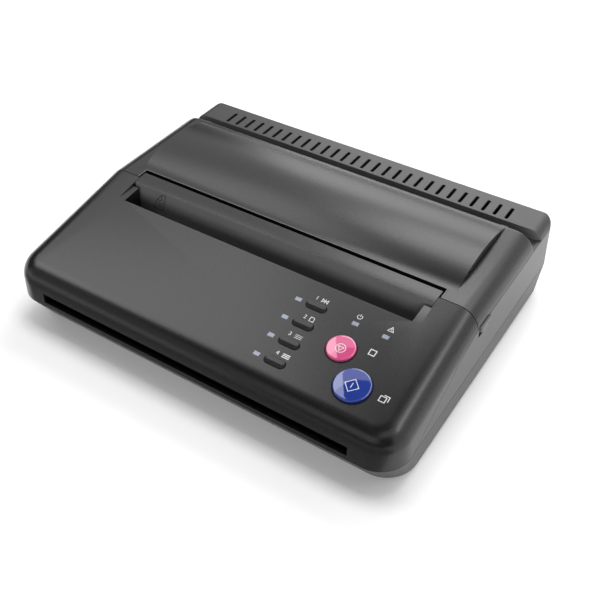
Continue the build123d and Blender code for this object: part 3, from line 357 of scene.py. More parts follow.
def capped_tube(form, rings):
    """Joins rings of as many points with quads and closes both ends."""
    for lower, upper in zip(rings, rings[1:]):
        for step in range(len(lower)):
            after = (step + 1) % len(lower)
            form.faces.new((lower[step], lower[after], upper[after], upper[step]))
    form.faces.new(rings[0][::-1])
    form.faces.new(rings[-1])


def stroke(form, points, width, place, low, high, closed=False):
    """A raised line along the points, in mm, closed on all its sides."""
    count = len(points)
    profile = ((1, low), (1, high), (-1, high), (-1, low))
    sections = []
    for index, (x, y) in enumerate(points):
        before = points[index - 1] if closed or index else None
        after = points[(index + 1) % count] if closed or index < count - 1 else None
        into = Vector((x - before[0], y - before[1])).normalized() if before else None
        out = Vector((after[0] - x, after[1] - y)).normalized() if after else None
        into, out = into or out, out or into
        middle = (into + out).normalized()
        side = Vector((-middle.y, middle.x)) * (width / 2 / max(CORNER_LIMIT, middle.dot(into)))
        sections.append([form.verts.new(place(x + side.x * s, y + side.y * s, h)) for s, h in profile])
    pairs = list(zip(sections, sections[1:])) + ([(sections[-1], sections[0])] if closed else [])
    for start, end in pairs:
        for a in range(4):
            b = (a + 1) % 4
            form.faces.new((start[a], end[a], end[b], start[b]))
    if not closed:
        form.faces.new(sections[0])
        form.faces.new(sections[-1][::-1])


def ring(radius, count=32):
    """Points of a full circle."""
    turns = [2 * math.pi * n / count for n in range(count)]
    return [(radius * math.cos(turn), radius * math.sin(turn)) for turn in turns]


def arc(radius, start, sweep, count):
    """Points of a part of a circle, with the angles in degrees."""
    turns = [math.radians(start) + math.radians(sweep) * n / count for n in range(count + 1)]
    return [(radius * math.cos(turn), radius * math.sin(turn)) for turn in turns]


def polygon(radius, corners, turn):
    """Corners of a regular polygon, the first of them at the turn."""
    turns = [turn + 2 * math.pi * n / corners for n in range(corners)]
    return [(radius * math.cos(turn), radius * math.sin(turn)) for turn in turns]


def finer(points, closed, pieces=6):
    """The line with points added on its runs, so that it can follow a dome."""
    ends = list(zip(points, points[1:])) + ([(points[-1], points[0])] if closed else [])
    more = [
        (a[0] + (b[0] - a[0]) * n / pieces, a[1] + (b[1] - a[1]) * n / pieces)
        for a, b in ends for n in range(pieces)
    ]
    return more if closed else more + [points[-1]]


def stadium(half_long, half_wide, steps=12):
    """Outline of a pill lying along x."""
    run = half_long - half_wide
    points = []
    for side in (1, -1):
        for step in range(steps + 1):
            turn = side * math.pi / 2 - math.pi * step / steps
            points.append((side * run + half_wide * math.cos(turn), half_wide * math.sin(turn)))
    return points


def outward(form):
    """The bmesh with all its faces turned outwards."""
    bmesh.ops.recalc_face_normals(form, faces=form.faces)
    return form


def box_mm(node):
    """The node's box in mm: low and high corners."""
    low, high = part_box(node)
    return Vector(low) / MM, Vector(high) / MM


# ---------------------------------------------------------------- repeated details
def repeat_tree(name, kind, build, inputs):
    """A node tree that puts one detail on every point of the carrier: build makes the detail from the inputs."""
    tree = bpy.data.node_groups.new(name, "GeometryNodeTree")
    tree.interface.new_socket("Geometry", in_out="INPUT", socket_type="NodeSocketGeometry")
    identifiers = {}
    for label, value in inputs.items():
        socket = tree.interface.new_socket(label, in_out="INPUT", socket_type="NodeSocketFloat")
        socket.default_value = value
        identifiers[label] = socket.identifier
    tree.interface.new_socket("Geometry", in_out="OUTPUT", socket_type="NodeSocketGeometry")
    nodes, links = tree.nodes, tree.links
    given, result = nodes.new("NodeGroupInput"), nodes.new("NodeGroupOutput")
    spread = nodes.new("GeometryNodeInstanceOnPoints")
    links.new(given.outputs["Geometry"], spread.inputs["Points"])
    links.new(build(nodes, links, given), spread.inputs["Instance"])
    real = nodes.new("GeometryNodeRealizeInstances")
    paint = nodes.new("GeometryNodeSetMaterial")
    paint.inputs["Material"].default_value = material_for(kind)
    links.new(spread.outputs["Instances"], real.inputs["Geometry"])
    links.new(real.outputs["Geometry"], paint.inputs["Geometry"])
    links.new(paint.outputs["Geometry"], result.inputs["Geometry"])
    return tree, identifiers


def repeated(name, body, kind, points, build, inputs, nodes):
    """One piece made of a detail at each of the points, in mm, in the place of the nodes."""
    carrier_mesh = bpy.data.meshes.new(name + "_points")
    carrier_mesh.from_pydata([Vector(p) * MM for p in points], [], [])
    carrier = linked(name + "_carrier", carrier_mesh)
    tree, identifiers = repeat_tree(name + "_tree", kind, build, inputs)
    modifier = carrier.modifiers.new(name, "NODES")
    modifier.node_group = tree
    for label, value in inputs.items():
        modifier[identifiers[label]] = value
    mesh = evaluated_mesh(carrier)
    if not mesh.polygons:
        raise RuntimeError(name + " made nothing")
    mesh.name = name
    return place_piece(name, shaded(mesh), body, kind, nodes)


# ---------------------------------------------------------------- stage
# Floor: half its width in metres, its grey, and its glow, which grows from under the copier to the horizon.
FLOOR_HALF = 4.0
FLOOR_GREY = 0.92
FLOOR_GLOW = {"From Min": 0.35, "From Max": 1.0, "To Min": 0.12, "To Max": 1.0}

# Lamps: name, place in metres, width, depth, turn of a level lamp in degrees (None faces the copier), brightness.
LAMPS = (
    ("left_softbox", (-0.444, 0.079, 0.78), 0.45, 0.50, 33.9, 2.25),
    ("far_left_softbox", (-0.814, -0.171, 0.78), 0.45, 0.50, 33.9, 2.9),
    ("rear_softbox", (-0.05, 0.62, 0.78), 0.50, 0.50, 0.0, 5.0),
    ("rear_right_softbox", (0.50, 0.65, 0.78), 0.60, 0.50, 0.0, 2.6),
    ("top_softbox", (0.10, 0.05, 0.90), 0.50, 0.30, 0.0, 8.0),
    ("right_softbox", (0.80, 0.20, 0.78), 0.30, 0.60, 33.9, 4.5),
    ("back_fill", (-0.20, 1.10, 0.45), 0.90, 0.50, None, 2.3),
    ("front_right_fill", (0.40, -1.00, 0.40), 0.90, 0.50, None, 4.0),
)
HIDDEN_FROM_GLOSS = ("front_right_fill", "top_softbox")
LAMP_AIM = Vector((0, 0, 0.03))

# Cards, each a patch of a sphere: name, start and end of its turn from the front to the right, lowest and
# highest angle above the floor, glow.
CARDS = (
    ("front_card", -22.5, 67.5, 0, 20, 0.0),
    ("front_left_card", -67.5, -22.5, 15, 42, 0.35),
    ("front_middle_card", 22.5, 67.5, 20, 42, 0.0),
    ("front_high_card", -67.5, 22.5, 42, 65, 0.0),
    ("rear_low_card", 157.5, 292.5, 0, 20, 0.0),
    ("rear_high_card", 157.5, 202.5, 42, 65, 0.0),
    ("left_card", 247.5, 292.5, 20, 42, 0.0),
    ("top_card", 0, 360, 65, 90, 0.0),
)
CARD_DISTANCE = 3.0
CARD_STEPS = 8

# Flag on the floor before the copier: its corners in metres and its glow.
FLAG_CORNERS = [(-0.6, -0.7, 0.0005), (0.7, -0.7, 0.0005), (0.21, -0.122, 0.0005), (-0.45, -0.122, 0.0005)]
FLAG_GLOW = 0.3

# Camera: focal length and sensor in mm, shift, and in degrees its turn, height above the floor's plane and roll.
FOCAL_LENGTH = 52.645
SENSOR_WIDTH = 36.0
CAMERA_SHIFT = (0.0237, -0.01075)
CAMERA_ANGLES = (33.909, 41.938, -0.677)
CAMERA_AIM = Vector((0, 0, 0.004427))
CAMERA_DISTANCE = 0.595364
NEAREST_SEEN = 0.01


class COPIER_OT_stage(bpy.types.Operator):
    """Floor, surroundings, cards, lamps and camera"""

    bl_idname = "copier.stage"
    bl_label = "Stage"

    def execute(self, context):
        scene = context.scene
        scene.view_settings.view_transform = "Standard"
        self.surroundings(scene)
        self.floor()
        self.cards()
        self.front_flag()
        self.lamps()
        self.camera(scene)
        return {"FINISHED"}

    def seen_rays(self, nodes, links):
        """1 for camera, glossy and transmission rays."""
        rays = nodes.new("ShaderNodeLightPath")
        total = rays.outputs["Is Camera Ray"]
        for kind in ("Is Glossy Ray", "Is Transmission Ray"):
            larger = nodes.new("ShaderNodeMath")
            larger.operation = "MAXIMUM"
            links.new(total, larger.inputs[0])
            links.new(rays.outputs[kind], larger.inputs[1])
            total = larger.outputs[0]
        return total

    def surroundings(self, scene):
        """A white room that is seen and mirrored but sheds no light."""
        world = bpy.data.worlds.new("pale_room")
        scene.world = world
        world.use_nodes = True
        nodes, links = world.node_tree.nodes, world.node_tree.links
        nodes["Background"].inputs["Color"].default_value = (1, 1, 1, 1)
        links.new(self.seen_rays(nodes, links), nodes["Background"].inputs["Strength"])

    def floor(self):
        """A pale floor that takes the shadow and fades into the white room."""
        half = FLOOR_HALF
        mesh = bpy.data.meshes.new("floor")
        mesh.from_pydata([(-half, -half, 0), (half, -half, 0), (half, half, 0), (-half, half, 0)], [], [(0, 1, 2, 3)])
        material, nodes, links, shader = node_tree("white_paper_floor")
        shader.inputs["Base Color"].default_value = (FLOOR_GREY, FLOOR_GREY, FLOOR_GREY, 1)
        shader.inputs["Roughness"].default_value = 0.9
        shader.inputs["Specular IOR Level"].default_value = 0.1
        place = nodes.new("ShaderNodeTexCoord")
        distance = nodes.new("ShaderNodeVectorMath")
        distance.operation = "LENGTH"
        links.new(place.outputs["Object"], distance.inputs[0])
        paler = nodes.new("ShaderNodeMapRange")
        paler.interpolation_type = "SMOOTHSTEP"
        for socket, value in FLOOR_GLOW.items():
            paler.inputs[socket].default_value = value
        links.new(distance.outputs["Value"], paler.inputs["Value"])
        level = nodes.new("ShaderNodeMath")
        level.operation = "MULTIPLY"
        links.new(paler.outputs["Result"], level.inputs[0])
        links.new(self.seen_rays(nodes, links), level.inputs[1])
        shader.inputs["Emission Color"].default_value = (1, 1, 1, 1)
        links.new(level.outputs[0], shader.inputs["Emission Strength"])
        mesh.materials.append(material)
        linked("floor", mesh)

    def cards(self):
        """Cards that only gloss sees, for contrast on the dark plastic."""
        across = CARD_STEPS + 1
        corners = [column * across + row for column in range(CARD_STEPS) for row in range(CARD_STEPS)]
        faces = [(n, n + 1, n + across + 1, n + across) for n in corners]
        for name, start, end, low, high, glow in CARDS:
            points = []
            for column in range(across):
                for row in range(across):
                    turn = math.radians(start + (end - start) * column / CARD_STEPS)
                    rise = math.radians(low + (high - low) * row / CARD_STEPS)
                    flat = CARD_DISTANCE * math.cos(rise)
                    points.append((flat * math.sin(turn), -flat * math.cos(turn), CARD_DISTANCE * math.sin(rise)))
            self.card(name, points, faces, glow)

    def front_flag(self):
        """Sheet on the floor before the copier, which keeps the front fillet dark."""
        self.card("front_flag", FLAG_CORNERS, [(0, 1, 2, 3)], FLAG_GLOW)

    def card(self, name, points, faces, glow):
        """A black sheet of the given glow that only gloss sees."""
        mesh = bpy.data.meshes.new(name)
        mesh.from_pydata(points, [], faces)
        material, nodes, links, shader = node_tree(name)
        shader.inputs["Base Color"].default_value = (0, 0, 0, 1)
        shader.inputs["Specular IOR Level"].default_value = 0.0
        shader.inputs["Roughness"].default_value = 1.0
        shader.inputs["Emission Color"].default_value = (1, 1, 1, 1)
        shader.inputs["Emission Strength"].default_value = glow
        mesh.materials.append(material)
        card = linked(name, mesh)
        card.visible_camera = False
        card.visible_diffuse = False
        card.visible_shadow = False
        card.visible_transmission = False

    def lamps(self):
        for name, where, across, deep, turn, brightness in LAMPS:
            lamp = bpy.data.lights.new(name, "AREA")
            lamp.shape = "RECTANGLE"
            lamp.size, lamp.size_y = across, deep
            lamp.energy = brightness * math.pi * across * deep
            stand = linked(name, lamp)
            stand.location = where
            stand.visible_glossy = name not in HIDDEN_FROM_GLOSS
            if turn is None:
                stand.rotation_euler = (LAMP_AIM - Vector(where)).to_track_quat("-Z", "Y").to_euler()
            else:
                stand.rotation_euler = (0, 0, math.radians(turn))

    def camera(self, scene):
        lens = bpy.data.cameras.new("camera")
        lens.sensor_width = SENSOR_WIDTH
        lens.lens = FOCAL_LENGTH
        lens.shift_x, lens.shift_y = CAMERA_SHIFT
        lens.clip_start = NEAREST_SEEN
        turn, height, roll = (math.radians(angle) for angle in CAMERA_ANGLES)
        back = Vector((math.sin(turn) * math.cos(height), -math.cos(turn) * math.cos(height), math.sin(height)))
        right = (-back).cross(Vector((0, 0, 1))).normalized()
        up = right.cross(-back)
        rolled_right = right * math.cos(roll) + up * math.sin(roll)
        rolled_up = up * math.cos(roll) - right * math.sin(roll)
        turned = Matrix((rolled_right, rolled_up, back)).transposed().to_4x4()
        camera = linked("camera", lens)
        camera.matrix_world = Matrix.Translation(CAMERA_AIM + back * CAMERA_DISTANCE) @ turned
        scene.camera = camera


# ---------------------------------------------------------------- casings
class COPIER_OT_finishes(bpy.types.Operator):
    """Materials of the solids that keep their own shape"""

    bl_idname = "copier.finishes"
    bl_label = "Finishes"

    def execute(self, context):
        for node, piece in frame["nodes"].items():
            piece.data.materials.clear()
            piece.data.materials.append(material_for(NODE_SLOTS[node]))
        return {"FINISHED"}


# Walls with a finish of their own, in mm: a face counts as one when its normal has at least this share of the
# axis. The cover's arch ends in an upright wall each side, drawn in from the rim, which gets painted shade in
# near black, and the ridge's wall faces the front between these places along y and gets painted light in grey.
SIDEWAYS = 0.95
FORWARD = -0.9
ARCH_WALL_X, ARCH_RIM_X = 118.9, 121.1
ARCH_FOOT_Z = 60
SAME_WALL = 0.2
RIDGE_WALL_Y = (80, 92)
GUIDE_ROUND = 0.2 * MM


class COPIER_OT_casings(bpy.types.Operator):
    """Outer mouldings with rounded edges"""

    bl_idname = "copier.casings"
    bl_label = "Casings"

    def execute(self, context):
        for node in ("bottom_pan", "front_cover"):
            dress(node)
        # The arch's end walls get a near-black painted shade.
        cover = dress("top_cover", reshape=self.upright_arch_ends).data
        self.face_finish(cover, "arch_end", self.is_arch_wall)
        housing = dress("upper_housing").data
        housing.materials[0] = material_for("housing_plastic")
        # Painted light: the ridge's front wall and the guide's front face get a lighter grey than the black moulding.
        self.face_finish(housing, "guide_face", self.is_ridge_wall)
        guide = dress("document_guide", GUIDE_ROUND).data
        self.face_finish(guide, "guide_face", lambda face: face.normal.y < FORWARD)
        return {"FINISHED"}

    def face_finish(self, mesh, kind, chosen):
        """Gives the chosen faces a finish of their own."""
        mesh.materials.append(material_for(kind))
        for face in mesh.polygons:
            face.material_index = int(chosen(face))

    def is_arch_wall(self, face):
        return abs(face.normal.x) > SIDEWAYS and abs(abs(face.center.x) - ARCH_WALL_X * MM) < SAME_WALL * MM

    def is_ridge_wall(self, face):
        return face.normal.y < FORWARD and RIDGE_WALL_Y[0] * MM < face.center.y < RIDGE_WALL_Y[1] * MM

    def upright_arch_ends(self, form):
        """Draws the arch's end walls in to the crease, so that they stand upright under a thin rim."""
        for vertex in form.verts:
            if ARCH_WALL_X * MM < abs(vertex.co.x) < ARCH_RIM_X * MM and vertex.co.z > ARCH_FOOT_Z * MM:
                vertex.co.x = math.copysign(ARCH_WALL_X * MM, vertex.co.x)


# Painted highlight along the edge of the cover's lip, in mm: its path, width, and how far it sinks and stands.
LIP_PATH = [(-113.5, -9.2), (-113.5, -0.15), (113.5, -0.15), (113.5, -9.2)]
LIP_WIDTH = 0.6
LIP_SINK, LIP_RISE = -0.1, 0.12


class COPIER_OT_lip(bpy.types.Operator):
    """Painted highlight: a bright grey line round the cover's lip"""

    bl_idname = "copier.lip"
    bl_label = "Cover lip"

    def execute(self, context):
        form = bmesh.new()
        stroke(form, LIP_PATH, LIP_WIDTH, self.on_lip, LIP_SINK, LIP_RISE)
        place_piece("cover_lip_edge", plain_mesh("cover_lip_edge", outward(form)), "cover", "bright_edge")
        return {"FINISHED"}

    def on_lip(self, x, y, proud):
        return Vector((x, y, LIP_Z + proud)) * MM


# Release tab, in mm: rings of (place along x, inset), half its length, its drop, the height of its level top,
# and how full its round is.
LATCH_RINGS = ((134.8, 0.0), (138.3, 0.0), (139.2, 0.45), (139.65, 1.2), (139.8, 2.3))
LATCH_HALF = 7.4
LATCH_DROP = 6.8
LATCH_TOP_Z = 50.75
LATCH_FULLNESS = 0.8
LATCH_STEPS = 24
LATCH_CREASE = 50.0


class COPIER_OT_latches(bpy.types.Operator):
    """Half-round release tabs under the cover's front corners"""

    bl_idname = "copier.latches"
    bl_label = "Latches"

    def execute(self, context):
        for side, label in ((-1, "left"), (1, "right")):
            form = bmesh.new()
            capped_tube(form, [self.outline(form, side * x, inset) for x, inset in LATCH_RINGS])
            name = label + "_latch"
            mesh = plain_mesh(name + "_tab", outward(form), LATCH_CREASE)
            mesh.materials.append(material_for("housing_plastic"))
            place_piece(name + "_tab", mesh, NODE_BODIES[name], NODE_SLOTS[name], (name,))
        return {"FINISHED"}

    def outline(self, form, x, inset):
        """One half-round ring of the tab."""
        half, drop = LATCH_HALF - inset, LATCH_DROP - inset
        points = []
        for step in range(LATCH_STEPS + 1):
            turn = math.pi * step / LATCH_STEPS
            z = LATCH_TOP_Z - drop * math.sin(turn) ** LATCH_FULLNESS
            points.append(form.verts.new(Vector((x, -half * math.cos(turn), z)) * MM))
        return points


# Front face of the document guide, in mm: y at its foot, how far it leans back, and the height where it ends.
GUIDE_FOOT_Y = -16.5
GUIDE_LEAN = 2.2
GUIDE_TOP_Z = 62.61

# Lines of the page sign as (x, z) in mm, each with whether it closes, and how far they sink and stand.
PAGE_LINES = (
    ([(-96.2, 48.4), (-88.6, 48.4), (-85.6, 60.6), (-88.6, 60.6), (-93.4, 55.4)], True),
    ([(-93.4, 55.4), (-89.8, 55.6), (-88.6, 60.6)], False),
    ([(-92.6, 53.4), (-88.9, 53.4)], False),
    ([(-93.2, 51.4), (-89.4, 51.4)], False),
)
MARK_SINK, MARK_RISE = -0.04, 0.03


class COPIER_OT_page_sign(bpy.types.Operator):
    """Page sign with a folded corner on the document guide: engraved lines drawn as dark strokes in painted shade"""

    bl_idname = "copier.page_sign"
    bl_label = "Page sign"

    def execute(self, context):
        foot_z = box_mm("document_guide")[0].z

        def on_guide(x, z, proud):
            lean = (z - foot_z) / (GUIDE_TOP_Z - foot_z)
            return Vector((x, GUIDE_FOOT_Y + GUIDE_LEAN * lean - proud, z)) * MM

        form = bmesh.new()
        width = sizes().engraving_width / MM
        for points, closed in PAGE_LINES:
            stroke(form, points, width, on_guide, MARK_SINK, MARK_RISE, closed)
        place_piece("page_sign", plain_mesh("page_sign", outward(form)), "case", "engraving")
        return {"FINISHED"}


# ---------------------------------------------------------------- keys
# Pill key, in mm: half its length and width, and its rings of (half length, half width, shift up the panel,
# height). The crown lies towards the back.
PILL_LONG, PILL_WIDE = 6.4, 2.4
PILL_RINGS = (
    (PILL_LONG, PILL_WIDE, 0.0, -3.0), (PILL_LONG, PILL_WIDE, 0.0, 0.15), (6.3, 2.1, 0.25, 0.45),
    (6.15, 1.6, 0.7, 1.02), (6.0, 1.4, 0.85, 1.16), (5.8, 1.2, 0.85, 1.2),
)
PILL_CREASE = 10.0


class COPIER_OT_pill_keys(bpy.types.Operator):
    """Four pill keys with softened edges"""

    bl_idname = "copier.pill_keys"
    bl_label = "Pill keys"

    def execute(self, context):
        for number, along in enumerate(KEY_ROWS, 1):
            form = bmesh.new()
            rings = []
            for half_long, half_wide, back, proud in PILL_RINGS:
                outline = stadium(half_long, half_wide)
                rings.append([form.verts.new(on_panel(KEY_X + u, along + back + v, proud)) for u, v in outline])
            capped_tube(form, rings)
            name = f"key_{number}"
            mesh = plain_mesh(name + "_cap", outward(form), PILL_CREASE)
            place_piece(name + "_cap", mesh, NODE_BODIES[name], "key_plastic", (name,))
        return {"FINISHED"}


# Round keys, in mm: height of the dome's middle and how far it falls to the rolled rim; the rim's width, height
# and foot; the skirt in its hole, and the flange below with its width and foot.
DOME_TOP, DOME_FALL = 2.2, 0.32
RIM_WIDTH, RIM_HEIGHT, RIM_FOOT = 1.1, 1.13, 0.75
SKIRT_FOOT = -2.6
FLANGE_WIDTH, FLANGE_FOOT = 1.4, -3.8
DOME_STEPS = 8
DOME_TURNS = 64
DOME_CREASE = 40.0

# Signs on the round keys: lines each with whether it closes, their shift from the key's middle and width in mm.
SIGN_SHIFT = Vector((0.3, -0.8))
SIGN_WIDTH = 0.42
ROUND_KEYS = {
    "stop": (STOP_PLACE, STOP_RADIUS, "pink_plastic", [
        (ring(2.9), True), (finer(polygon(1.9, 3, -math.pi / 2), True), True),
    ]),
    "copy": (COPY_PLACE, COPY_RADIUS, "blue_plastic", [
        (finer(polygon(4.3, 4, 0.0), True), True), (finer([(0, -1.7), (0, 1.7)], False), False),
    ]),
}


class COPIER_OT_round_keys(bpy.types.Operator):
    """Domed stop and copy keys with their signs"""

    bl_idname = "copier.round_keys"
    bl_label = "Round keys"

    def execute(self, context):
        for key, (middle, radius, kind, lines) in ROUND_KEYS.items():
            self.cap(key, middle, radius, kind)
            self.sign(key, middle, radius, lines)
        return {"FINISHED"}

    def dome(self, radius, distance):
        """Height of the dome's surface at a distance from its axis, in mm."""
        inner = radius - RIM_WIDTH
        if distance <= inner:
            return DOME_TOP - DOME_FALL * (distance / inner) ** 2
        turn = math.asin(min(1.0, (distance - inner) / RIM_WIDTH))
        return RIM_FOOT + RIM_HEIGHT * math.cos(turn)

    def cap(self, key, middle, radius, kind):
        def place(u, v, height):
            return on_panel(middle[0] + u, middle[1] + v, height)

        inner, flange = radius - RIM_WIDTH, radius + FLANGE_WIDTH
        steps = [inner * n / DOME_STEPS for n in range(DOME_STEPS + 1)]
        steps += [inner + RIM_WIDTH * math.sin(math.pi / 2 * n / DOME_STEPS) for n in range(1, DOME_STEPS + 1)]
        crown = [(distance, self.dome(radius, distance)) for distance in steps]
        crown[-1] = (radius, RIM_FOOT)
        skirt = [(radius, SKIRT_FOOT), (flange, SKIRT_FOOT), (flange, FLANGE_FOOT), (0.0, FLANGE_FOOT)]
        form = bmesh.new()
        lathe(form, crown + skirt, place, DOME_TURNS)
        name = key + "_cap"
        mesh = plain_mesh(name, outward(form), DOME_CREASE)
        place_piece(name, mesh, key + "_key", kind, nodes=(key + "_button",))

    def sign(self, key, middle, radius, lines):
        def place(u, v, proud):
            distance = math.hypot(u + SIGN_SHIFT.x, v + SIGN_SHIFT.y)
            height = self.dome(radius, distance) + proud
            return on_panel(middle[0] + u + SIGN_SHIFT.x, middle[1] + v + SIGN_SHIFT.y, height)

        form = bmesh.new()
        rise = sizes().print_height / MM
        for line, closed in lines:
            stroke(form, line, SIGN_WIDTH, place, MARK_SINK, rise, closed)
        name = key + "_sign"
        place_piece(name, plain_mesh(name, outward(form)), key + "_key", "print")


# Painted shade of the gap round a key, in mm: how far its middle lies from the key, and its width.
GAP_AWAY = 0.35
GAP_WIDTH = 0.6


class COPIER_OT_key_gaps(bpy.types.Operator):
    """Painted shade: a near-black line for the gap around every key"""

    bl_idname = "copier.key_gaps"
    bl_label = "Key gaps"

    def execute(self, context):
        form = bmesh.new()
        outlines = [((KEY_X, along), stadium(PILL_LONG + GAP_AWAY, PILL_WIDE + GAP_AWAY)) for along in KEY_ROWS]
        for middle, radius, *_ in ROUND_KEYS.values():
            outlines.append((middle, ring(radius + GAP_AWAY, DOME_TURNS)))
        for (x, along), outline in outlines:
            def place(u, v, height):
                return on_panel(x + u, along + v, height)

            stroke(form, outline, GAP_WIDTH, place, MARK_SINK, MARK_RISE, True)
        # The gap line gets the near-black painted shade.
        place_piece("key_gaps", plain_mesh("key_gaps", outward(form)), "case", "arch_end")
        return {"FINISHED"}


class COPIER_OT_lamp_windows(bpy.types.Operator):
    """Six small lamp windows"""

    bl_idname = "copier.lamp_windows"
    bl_label = "Lamp windows"

    def execute(self, context):
        dress("indicator_windows", 0.3 * MM, 3)
        return {"FINISHED"}


# ---------------------------------------------------------------- print
def bars(half, heights):
    """Level lines one above the other."""
    return [([(-half, y), (half, y)], False) for y in heights]


# Signs on the panel, in mm: middle, line width (None is the setting's), and lines each with whether it closes.
PRINT_SINK = -0.05
PANEL_SIGNS = (
    ((56.0, -10.8), None, [  # mirrored
        ([(-1.9, -1.2), (-0.5, 0.0), (-1.9, 1.2)], True),
        ([(1.9, -1.2), (0.5, 0.0), (1.9, 1.2)], True),
        ([(0, -1.5), (0, 1.5)], False),
    ]),
    ((56.2, -25.8), None, [([(-1.3, -1.5), (1.3, -1.5), (1.3, 0.7), (0.5, 1.5), (-1.3, 1.5)], True)]),  # page
    ((56.0, -40.1), 0.3, bars(2.4, (-1.1, 0.0, 1.1))),  # light lines
    ((57.0, -54.7), 0.62, bars(2.4, (-1.1, 0.0, 1.1))),  # heavy lines
    ((79.5, -11.2), None, [(arc(1.5, 125, 290, 20), False), ([(0, 0.3), (0, 2.0)], False)]),  # power
    ((99.6, -11.0), None, [(polygon(2.1, 3, math.pi / 2), True), ([(0, -0.3), (0, 0.7)], False)]),  # warning
    ((98.0, -29.5), 0.55, [([(-1.8, -1.8), (1.8, -1.8), (1.8, 1.8), (-1.8, 1.8)], True)]),  # stop
    ((118.2, -52.7), 0.5, [  # two sheets
        ([(-2.6, -2.2), (0.9, -2.2), (0.9, 1.2), (-2.6, 1.2)], True),
        ([(-1.0, 2.2), (2.3, 2.2), (2.3, -1.2)], False),
    ]),
)
DIGITS = (("1", (50.6, -10.8)), ("2", (51.6, -25.8)), ("3", (50.4, -40.1)), ("4", (51.4, -54.7)))
FONT_SIZE_TO_HEIGHT = 1.4


class COPIER_OT_panel_print(bpy.types.Operator):
    """Digits and plain signs printed beside the keys and lamps"""

    bl_idname = "copier.panel_print"
    bl_label = "Panel print"

    def execute(self, context):
        form = bmesh.new()
        rise = sizes().print_height / MM
        for (x, along), width, lines in PANEL_SIGNS:
            def place(u, v, height):
                return on_panel(x + u, along + v, height)

            for points, closed in lines:
                stroke(form, points, width or sizes().stroke_width / MM, place, PRINT_SINK, rise, closed)
        place_piece("panel_signs", plain_mesh("panel_signs", outward(form)), "case", "print")
        for digit, middle in DIGITS:
            self.digit(digit, middle)
        return {"FINISHED"}

    def digit(self, text, middle):
        """One printed digit, upright on the panel."""
        curve = bpy.data.curves.new("digit_" + text, "FONT")
        curve.body = text
        curve.align_x, curve.align_y = "CENTER", "CENTER"
        curve.size = sizes().digit_height * FONT_SIZE_TO_HEIGHT
        curve.extrude = sizes().print_height
        mesh = evaluated_mesh(linked("digit_form", curve))
        for vertex in mesh.vertices:
            x, y, z = vertex.co / MM
            vertex.co = on_panel(middle[0] + x, middle[1] + y, z)
        mesh.materials.clear()
        place_piece("digit_" + text, mesh, "case", "print")


# ---------------------------------------------------------------- fasteners
# Case screw, in mm: the head's radius and thickness, the shank's radius, length and the place of its middle, the
# recess's length, depth and the place of its middle, and the height of the head's middle in the pan.
HEAD_RADIUS, HEAD_THICKNESS = 3.0, 2.0
SHANK_RADIUS, SHANK_LENGTH, SHANK_MIDDLE = 1.2, 7.0, 4.5
RECESS_LENGTH, RECESS_DEPTH, RECESS_MIDDLE = 3.4, 1.6, -0.9
HEAD_MIDDLE_Z = 5.0

# Rubber foot, in mm: its radius, its height, and its steps of (share of the radius, thickness).
FOOT_RADIUS = 7.0
FOOT_HEIGHT = 4.0
FOOT_STEPS = ((1.0, 3.4), (0.9, FOOT_HEIGHT))


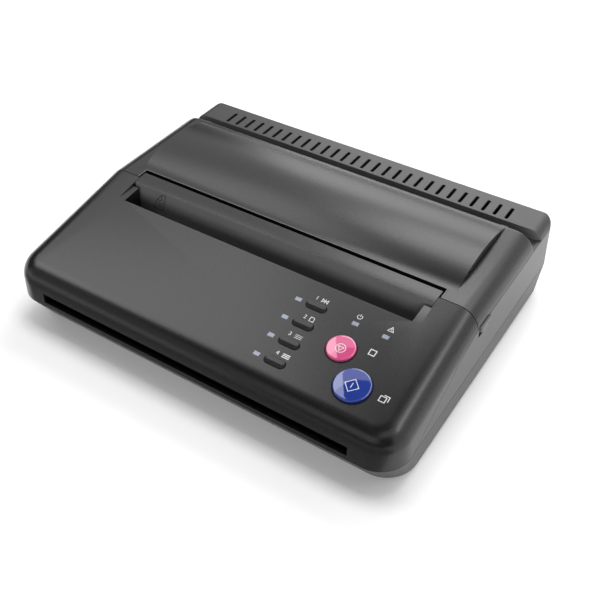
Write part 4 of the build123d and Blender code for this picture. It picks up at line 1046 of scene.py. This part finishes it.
class COPIER_OT_fasteners(bpy.types.Operator):
    """Cross-head screws and stepped rubber feet under the pan"""

    bl_idname = "copier.fasteners"
    bl_label = "Screws and feet"

    def execute(self, context):
        inputs = {"Head radius": HEAD_RADIUS * MM, "Recess": sizes().screw_recess}
        places = self.corners("pan_screws", HEAD_RADIUS, HEAD_MIDDLE_Z)
        repeated("pan_screw_heads", "case", "shaft_steel", places, self.screw, inputs, ("pan_screws",))
        inputs = {"Radius": FOOT_RADIUS * MM}
        places = self.corners("rubber_feet", FOOT_RADIUS, 0.0)
        repeated("ringed_feet", "case", "foot_rubber", places, self.foot, inputs, ("rubber_feet",))
        return {"FINISHED"}

    def corners(self, node, inset, z):
        """The four corners of the node's box, drawn in by the inset."""
        low, high = box_mm(node)
        return [(x, y, z) for x in (low.x + inset, high.x - inset) for y in (low.y + inset, high.y - inset)]

    def cylinder(self, nodes, vertices, thickness):
        drum = nodes.new("GeometryNodeMeshCylinder")
        drum.inputs["Vertices"].default_value = vertices
        drum.inputs["Depth"].default_value = thickness * MM
        return drum

    def moved(self, nodes, links, geometry, height):
        """The geometry after a move along z, in mm."""
        move = nodes.new("GeometryNodeTransform")
        move.inputs["Translation"].default_value = (0, 0, height * MM)
        links.new(geometry, move.inputs["Geometry"])
        return move.outputs["Geometry"]

    def screw(self, nodes, links, given):
        """A round screw head with a cross recess, on a plain shank."""
        head = self.cylinder(nodes, 32, HEAD_THICKNESS)
        links.new(given.outputs["Head radius"], head.inputs["Radius"])
        shank = self.cylinder(nodes, 20, SHANK_LENGTH)
        shank.inputs["Radius"].default_value = SHANK_RADIUS * MM
        cutter = nodes.new("GeometryNodeJoinGeometry")
        for long_axis, wide_axis in ("XY", "YX"):
            shape = nodes.new("ShaderNodeCombineXYZ")
            shape.inputs[long_axis].default_value = RECESS_LENGTH * MM
            links.new(given.outputs["Recess"], shape.inputs[wide_axis])
            shape.inputs["Z"].default_value = RECESS_DEPTH * MM
            bar = nodes.new("GeometryNodeMeshCube")
            links.new(shape.outputs["Vector"], bar.inputs["Size"])
            links.new(self.moved(nodes, links, bar.outputs["Mesh"], RECESS_MIDDLE), cutter.inputs["Geometry"])
        cut = nodes.new("GeometryNodeMeshBoolean")
        cut.operation = "DIFFERENCE"
        links.new(head.outputs["Mesh"], cut.inputs["Mesh 1"])
        links.new(cutter.outputs["Geometry"], cut.inputs["Mesh 2"])
        whole = nodes.new("GeometryNodeJoinGeometry")
        links.new(cut.outputs["Mesh"], whole.inputs["Geometry"])
        links.new(self.moved(nodes, links, shank.outputs["Mesh"], SHANK_MIDDLE), whole.inputs["Geometry"])
        return whole.outputs["Geometry"]

    def foot(self, nodes, links, given):
        """A rubber foot of two steps."""
        whole = nodes.new("GeometryNodeJoinGeometry")
        for share, thickness in FOOT_STEPS:
            wide = nodes.new("ShaderNodeMath")
            wide.operation = "MULTIPLY"
            wide.inputs[1].default_value = share
            links.new(given.outputs["Radius"], wide.inputs[0])
            disc = self.cylinder(nodes, 48, thickness)
            links.new(wide.outputs[0], disc.inputs["Radius"])
            middle = FOOT_HEIGHT - thickness / 2
            links.new(self.moved(nodes, links, disc.outputs["Mesh"], middle), whole.inputs["Geometry"])
        return whole.outputs["Geometry"]


OPERATORS = (
    COPIER_OT_stage, COPIER_OT_finishes, COPIER_OT_casings, COPIER_OT_lip, COPIER_OT_latches, COPIER_OT_page_sign,
    COPIER_OT_pill_keys, COPIER_OT_round_keys, COPIER_OT_key_gaps, COPIER_OT_lamp_windows, COPIER_OT_panel_print,
    COPIER_OT_fasteners,
)


class COPIER_PT_panel(bpy.types.Panel):
    """Lists the copier's settings and operators"""

    bl_idname = "COPIER_PT_panel"
    bl_label = "Thermal stencil copier"
    bl_space_type = "VIEW_3D"
    bl_region_type = "UI"
    bl_category = "Copier"

    def draw(self, context):
        for group in (finish(), sizes()):
            for name in type(group).__annotations__:
                self.layout.prop(group, name)
        for operator in OPERATORS:
            self.layout.operator(operator.bl_idname)


CLASSES = (CopierFinish, CopierSizes, *OPERATORS, COPIER_PT_panel)


def register():
    for cls in CLASSES:
        bpy.utils.register_class(cls)
    bpy.types.Scene.copier_finish = bpy.props.PointerProperty(type=CopierFinish)
    bpy.types.Scene.copier_sizes = bpy.props.PointerProperty(type=CopierSizes)


def unregister():
    del bpy.types.Scene.copier_sizes
    del bpy.types.Scene.copier_finish
    for cls in reversed(CLASSES):
        bpy.utils.unregister_class(cls)


def main():
    register()
    for operator in OPERATORS:
        group, name = operator.bl_idname.split(".")
        getattr(getattr(bpy.ops, group), name)()


if __name__ == "__main__":
    main()
